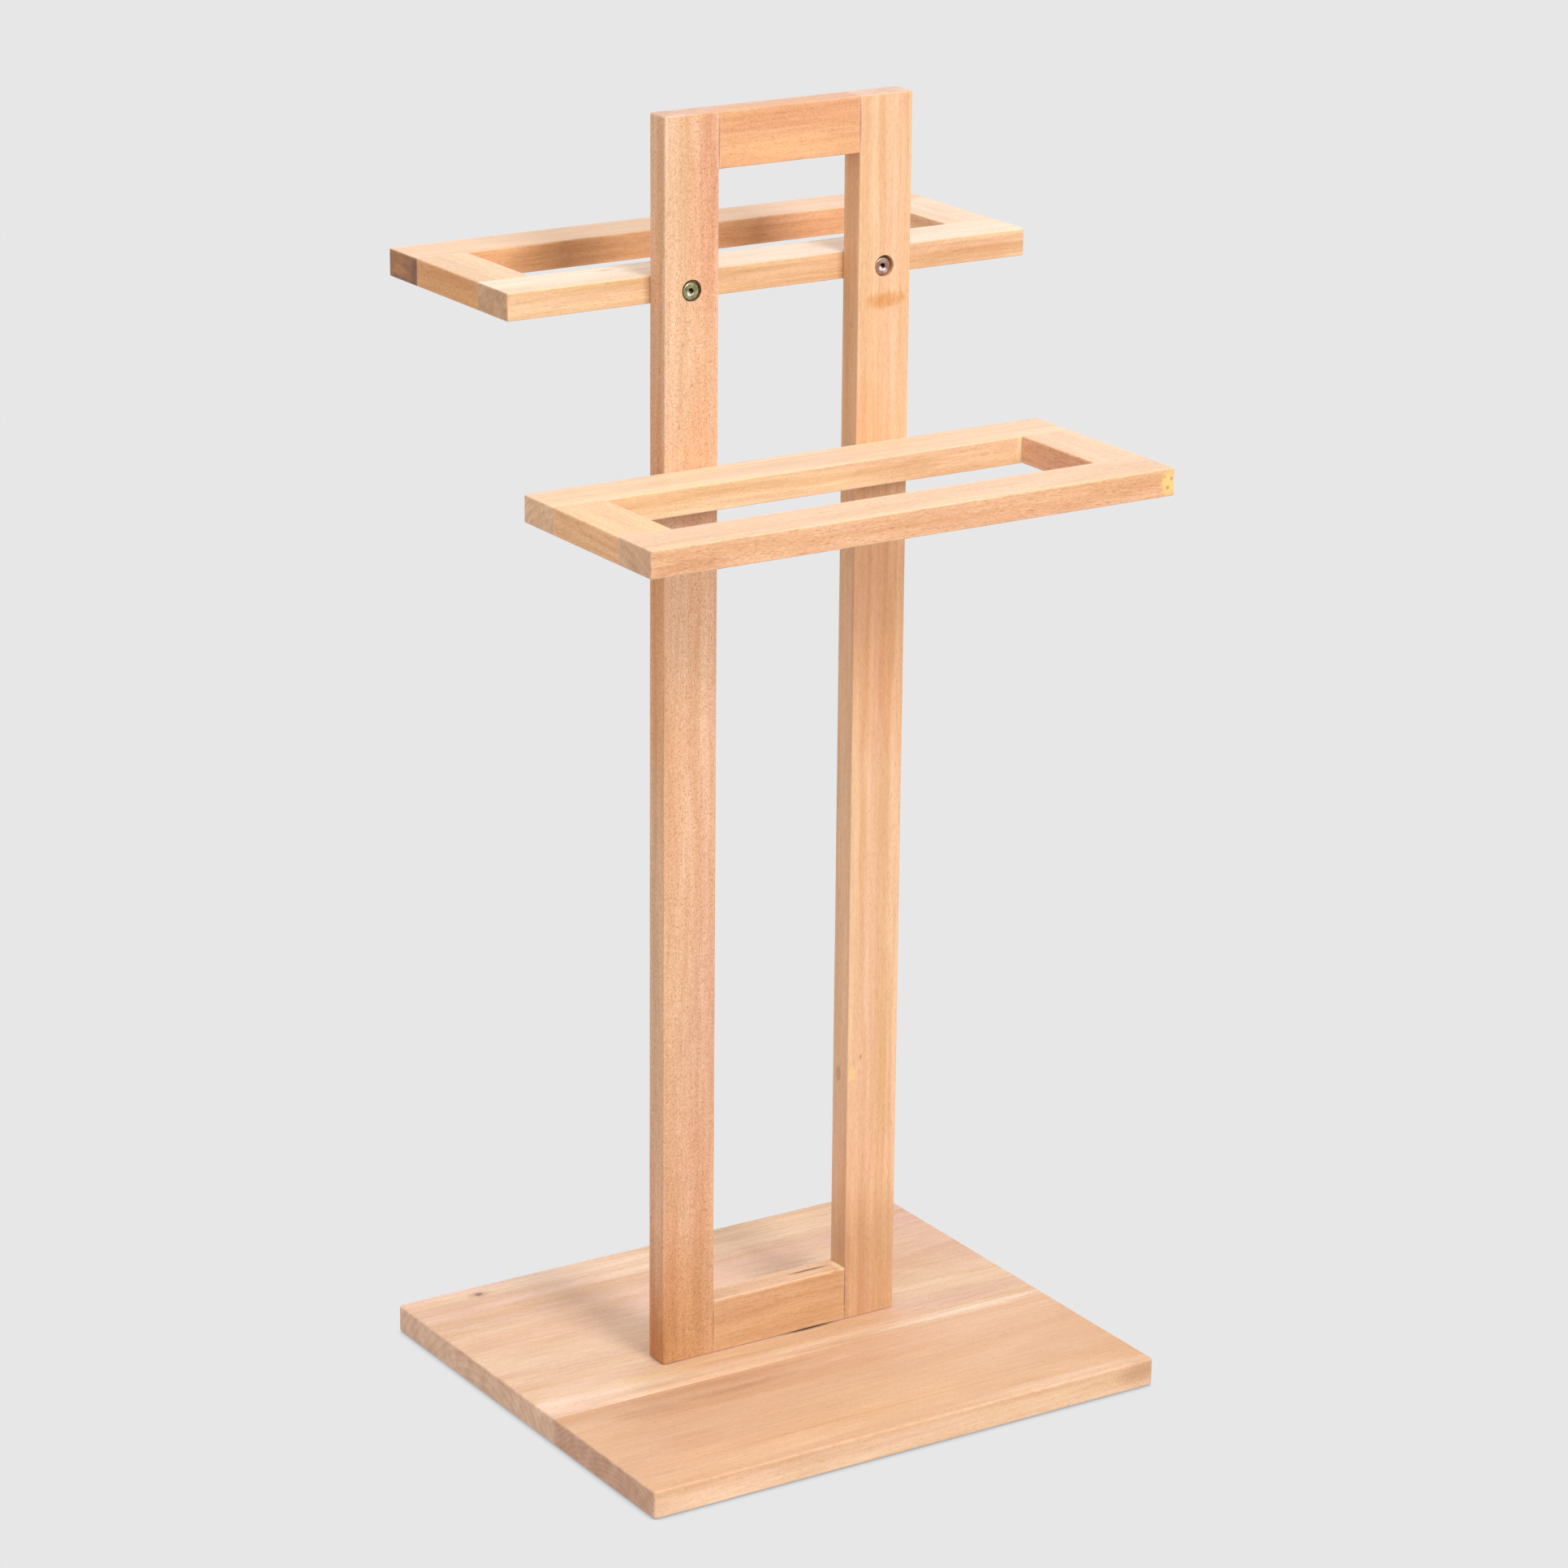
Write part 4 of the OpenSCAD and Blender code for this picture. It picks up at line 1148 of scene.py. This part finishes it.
# The upper bolts: olive patches on the left head, a brown cast on the right one, painted
# shade in the sockets, a painted highlight low on the right head, and a painted glint at the mouth of
# each
zinc_marks = [
    spot((-75.6, -8.0, bolt_z - 1.2), (2.4, 3, 3.6), (0.42, 0.44, 0.24), 0.8, 0.5, (0.4, 0.4, 0.4)),
    spot((-71.4, -8.0, bolt_z + 1.5), (2.4, 3, 3.6), (0.24, 0.26, 0.10), 0.7, 0.8, (0.4, 0.4, 0.4)),
    spot((73.75, -7.5, bolt_z), (10, 9, 10), (0.52, 0.25, 0.21), 0.9, 0.8, (0.25, 0.25, 0.25)),
    spot((73.9, -7.5, bolt_z + 4.2), (4.5, 3, 2.2), (0.56, 0.54, 0.40), 0.8, 0.6, (0.4, 0.4, 0.4)),
    # Painted highlight low on the right head
    spot((75.4, -7.5, bolt_z - 2.8), (2.4, 3, 2.0), (0.95, 0.82, 0.76), 0.8, 1.0, (0.5, 0.5, 0.5)),
    spot((-73.0, -6.0, bolt_z + 0.7), (3.0, 2.8, 3.0), socket_shade, 0.98, 0.3, (0.5, 0.5, 0.5)),
    spot((74.4, -5.0, bolt_z + 0.7), (3.0, 2.8, 3.0), socket_shade, 0.98, 0.3, (0.5, 0.5, 0.5)),
    spot((-74.7, -7.4, bolt_z - 1.2), (2.6, 3.8, 2.4), painted_glint, 1.0, 0.2, (0.5, 0.5, 0.5), 0.9),
    spot((72.7, -6.4, bolt_z - 1.1), (2.6, 3.8, 2.4), painted_glint, 1.0, 0.2, (0.5, 0.5, 0.5), 0.9)]
zinc = plated_steel(
    "yellow_zinc", (0.20, 0.20, 0.08), (0.50, 0.50, 0.26), (0.50, 0.42, 0.26), zinc_marks)


def bolt_pair(name, cad_node, places, inwards, rolls):
    """Both bolts of one joint as one piece."""
    bolts = [bolt(name, place, inwards, roll) for place, roll in zip(places, rolls)]
    choose(*bolts)
    bpy.ops.object.join()
    fit(bolts[0], zinc, "yellow_zinc_steel", cad_node)


proud = 0.9 * MM
foot_seats = (-right_way * bolt_x, right_way * bolt_x)
upper_face = back_way * left_low.y + up_way * upper_z
lower_face = back_way * left_high.y + up_way * lower_z
left_seat, right_seat = [seat + upper_face for seat in foot_seats]
upper_seats = (left_seat - back_way * proud, right_seat)
lower_seats = [seat + lower_face for seat in foot_seats]
bolt_pair("upper_bolts", "upper_frame_bolts", upper_seats, back_way, (0.5, 0.1))
bolt_pair("lower_bolts", "lower_frame_bolts", lower_seats, -back_way, (0.2, 0.8))
bolt_pair("foot_bolts", "base_bolts", foot_seats, up_way, (0.4, 0.9))

# Inserts: die-cast zinc sleeves with ridges that grip the wood and a thread inside. They
# keep the frame's shape and only take a finish: dull, slightly yellow, pitted casting.

cast_zinc = plated_steel("cast_zinc", (0.42, 0.38, 0.28), (0.56, 0.50, 0.36), (0.50, 0.44, 0.34))
dress(cast_zinc, "upper_frame_inserts", "lower_frame_inserts", "base_inserts")

# Studio: a plain pale floor that glows evenly and runs out into a backdrop of the same tone,
# with a painted contact shadow in the nook under the base's edge, soft light from above and
# from the left, one softbox in front, and the camera at the photo's viewing angle.

backdrop_grey = 0.799
nook_shadow_grey = (0.42, 0.43, 0.46)
nook_reach = 0.008
nook_samples = 8
floor_light = 0.62
floor_size = 40.0
floor_gap = 0.2 * MM

choose()
bpy.ops.mesh.primitive_plane_add(size=floor_size, location=(0, 0, -floor_gap))
floor = bpy.context.object
floor.name = "studio_floor"
paper = bpy.data.materials.new("studio_paper")
paper.use_nodes = True
tree = paper.node_tree
tree.nodes.clear()
# The floor glows: a set grey to the camera, an even light to everything else, and a painted contact
# shadow in the nook
seen = node(tree, "LightPath").outputs["Is Camera Ray"]
nook = node(tree, "AmbientOcclusion", {"Distance": nook_reach}, samples=nook_samples).outputs["AO"]
grey = tint(tree, rise(tree, nook, 0.2, 0.8), nook_shadow_grey, (backdrop_grey,) * 3)
glow = node(tree, "Emission", {"Color": tint(tree, seen, (floor_light,) * 3, grey)})
surface = tree.nodes.new("ShaderNodeOutputMaterial")
tree.links.new(glow.outputs[0], surface.inputs["Surface"])
floor.data.materials.append(paper)

air_light = 0.42
left_light = 0.40
top_light = 0.5
sheen_light = 0.75
rear_sheen = 0.8

world = bpy.data.worlds.new("studio_air")
bpy.context.scene.world = world
world.use_nodes = True
tree = world.node_tree
tree.nodes.clear()
ray = node(tree, "LightPath").outputs
way = node(tree, "SeparateXYZ", {0: node(tree, "TexCoord").outputs["Generated"]}).outputs
to_left = times(tree, reckon(tree, "MAXIMUM", times(tree, way[0], -1.0), 0.0), left_light)
overhead = times(tree, reckon(tree, "MAXIMUM", way[2], 0.0), top_light)
soft = reckon(tree, "ADD", reckon(tree, "ADD", to_left, overhead), air_light)
behind = reckon(tree, "MULTIPLY_ADD", reckon(tree, "MAXIMUM", way[1], 0.0), rear_sheen, sheen_light)
strength = node(tree, "MapRange", {
    "Value": ray["Is Glossy Ray"], "To Min": soft, "To Max": behind}).outputs["Result"]
strength = node(tree, "MapRange", {
    "Value": ray["Is Camera Ray"], "To Min": strength, "To Max": backdrop_grey}).outputs["Result"]
air = node(tree, "Background", {"Color": (1.0, 1.0, 1.0, 1.0), "Strength": strength})
sky = tree.nodes.new("ShaderNodeOutputWorld")
tree.links.new(air.outputs[0], sky.inputs["Surface"])

lamp_place = Vector((0.33, -3.40, 2.72))
lamp_aim = Vector((0, 0, 0.5))
lamp_width = 1.2
lamp_height = 1.9
lamp_power = 105
bpy.ops.object.light_add(type="AREA", location=lamp_place)
lamp = bpy.context.object
lamp.name = "front_softbox"
lamp.data.shape = "RECTANGLE"
lamp.data.size = lamp_width
lamp.data.size_y = lamp_height
lamp.data.energy = lamp_power
lamp.rotation_euler = (lamp_aim - lamp_place).to_track_quat("-Z", "Y").to_euler()

scene = bpy.context.scene
scene.view_settings.view_transform = "Standard"

photo_side = 1932
focal_pixels = 6266.4
sensor = 36
nearest = 0.1
farthest = 100
azimuth = math.radians(-32.5797)
elevation = math.radians(18.1428)
roll = math.radians(0.5404)
target = Vector((0, 0, 0.44))
distance = 3.39684
aside = 4.7267 * MM
above = -19.6614 * MM

right = Vector((math.cos(azimuth), math.sin(azimuth), 0))
level_back = Vector((math.sin(azimuth), -math.cos(azimuth), 0))
back = level_back * math.cos(elevation) + up_way * math.sin(elevation)
up = back.cross(right)
bpy.ops.object.camera_add()
camera = bpy.context.object
camera.name = "photo_camera"
camera.data.sensor_width = sensor
camera.data.lens = focal_pixels / photo_side * sensor
camera.data.clip_start = nearest
camera.data.clip_end = farthest
rolled_right = right * math.cos(roll) + up * math.sin(roll)
rolled_up = up * math.cos(roll) - right * math.sin(roll)
turned = Matrix((rolled_right, rolled_up, back)).transposed().to_4x4()
stand = target + back * distance + right * aside + up * above
camera.matrix_world = Matrix.Translation(stand) @ turned
scene.camera = camera
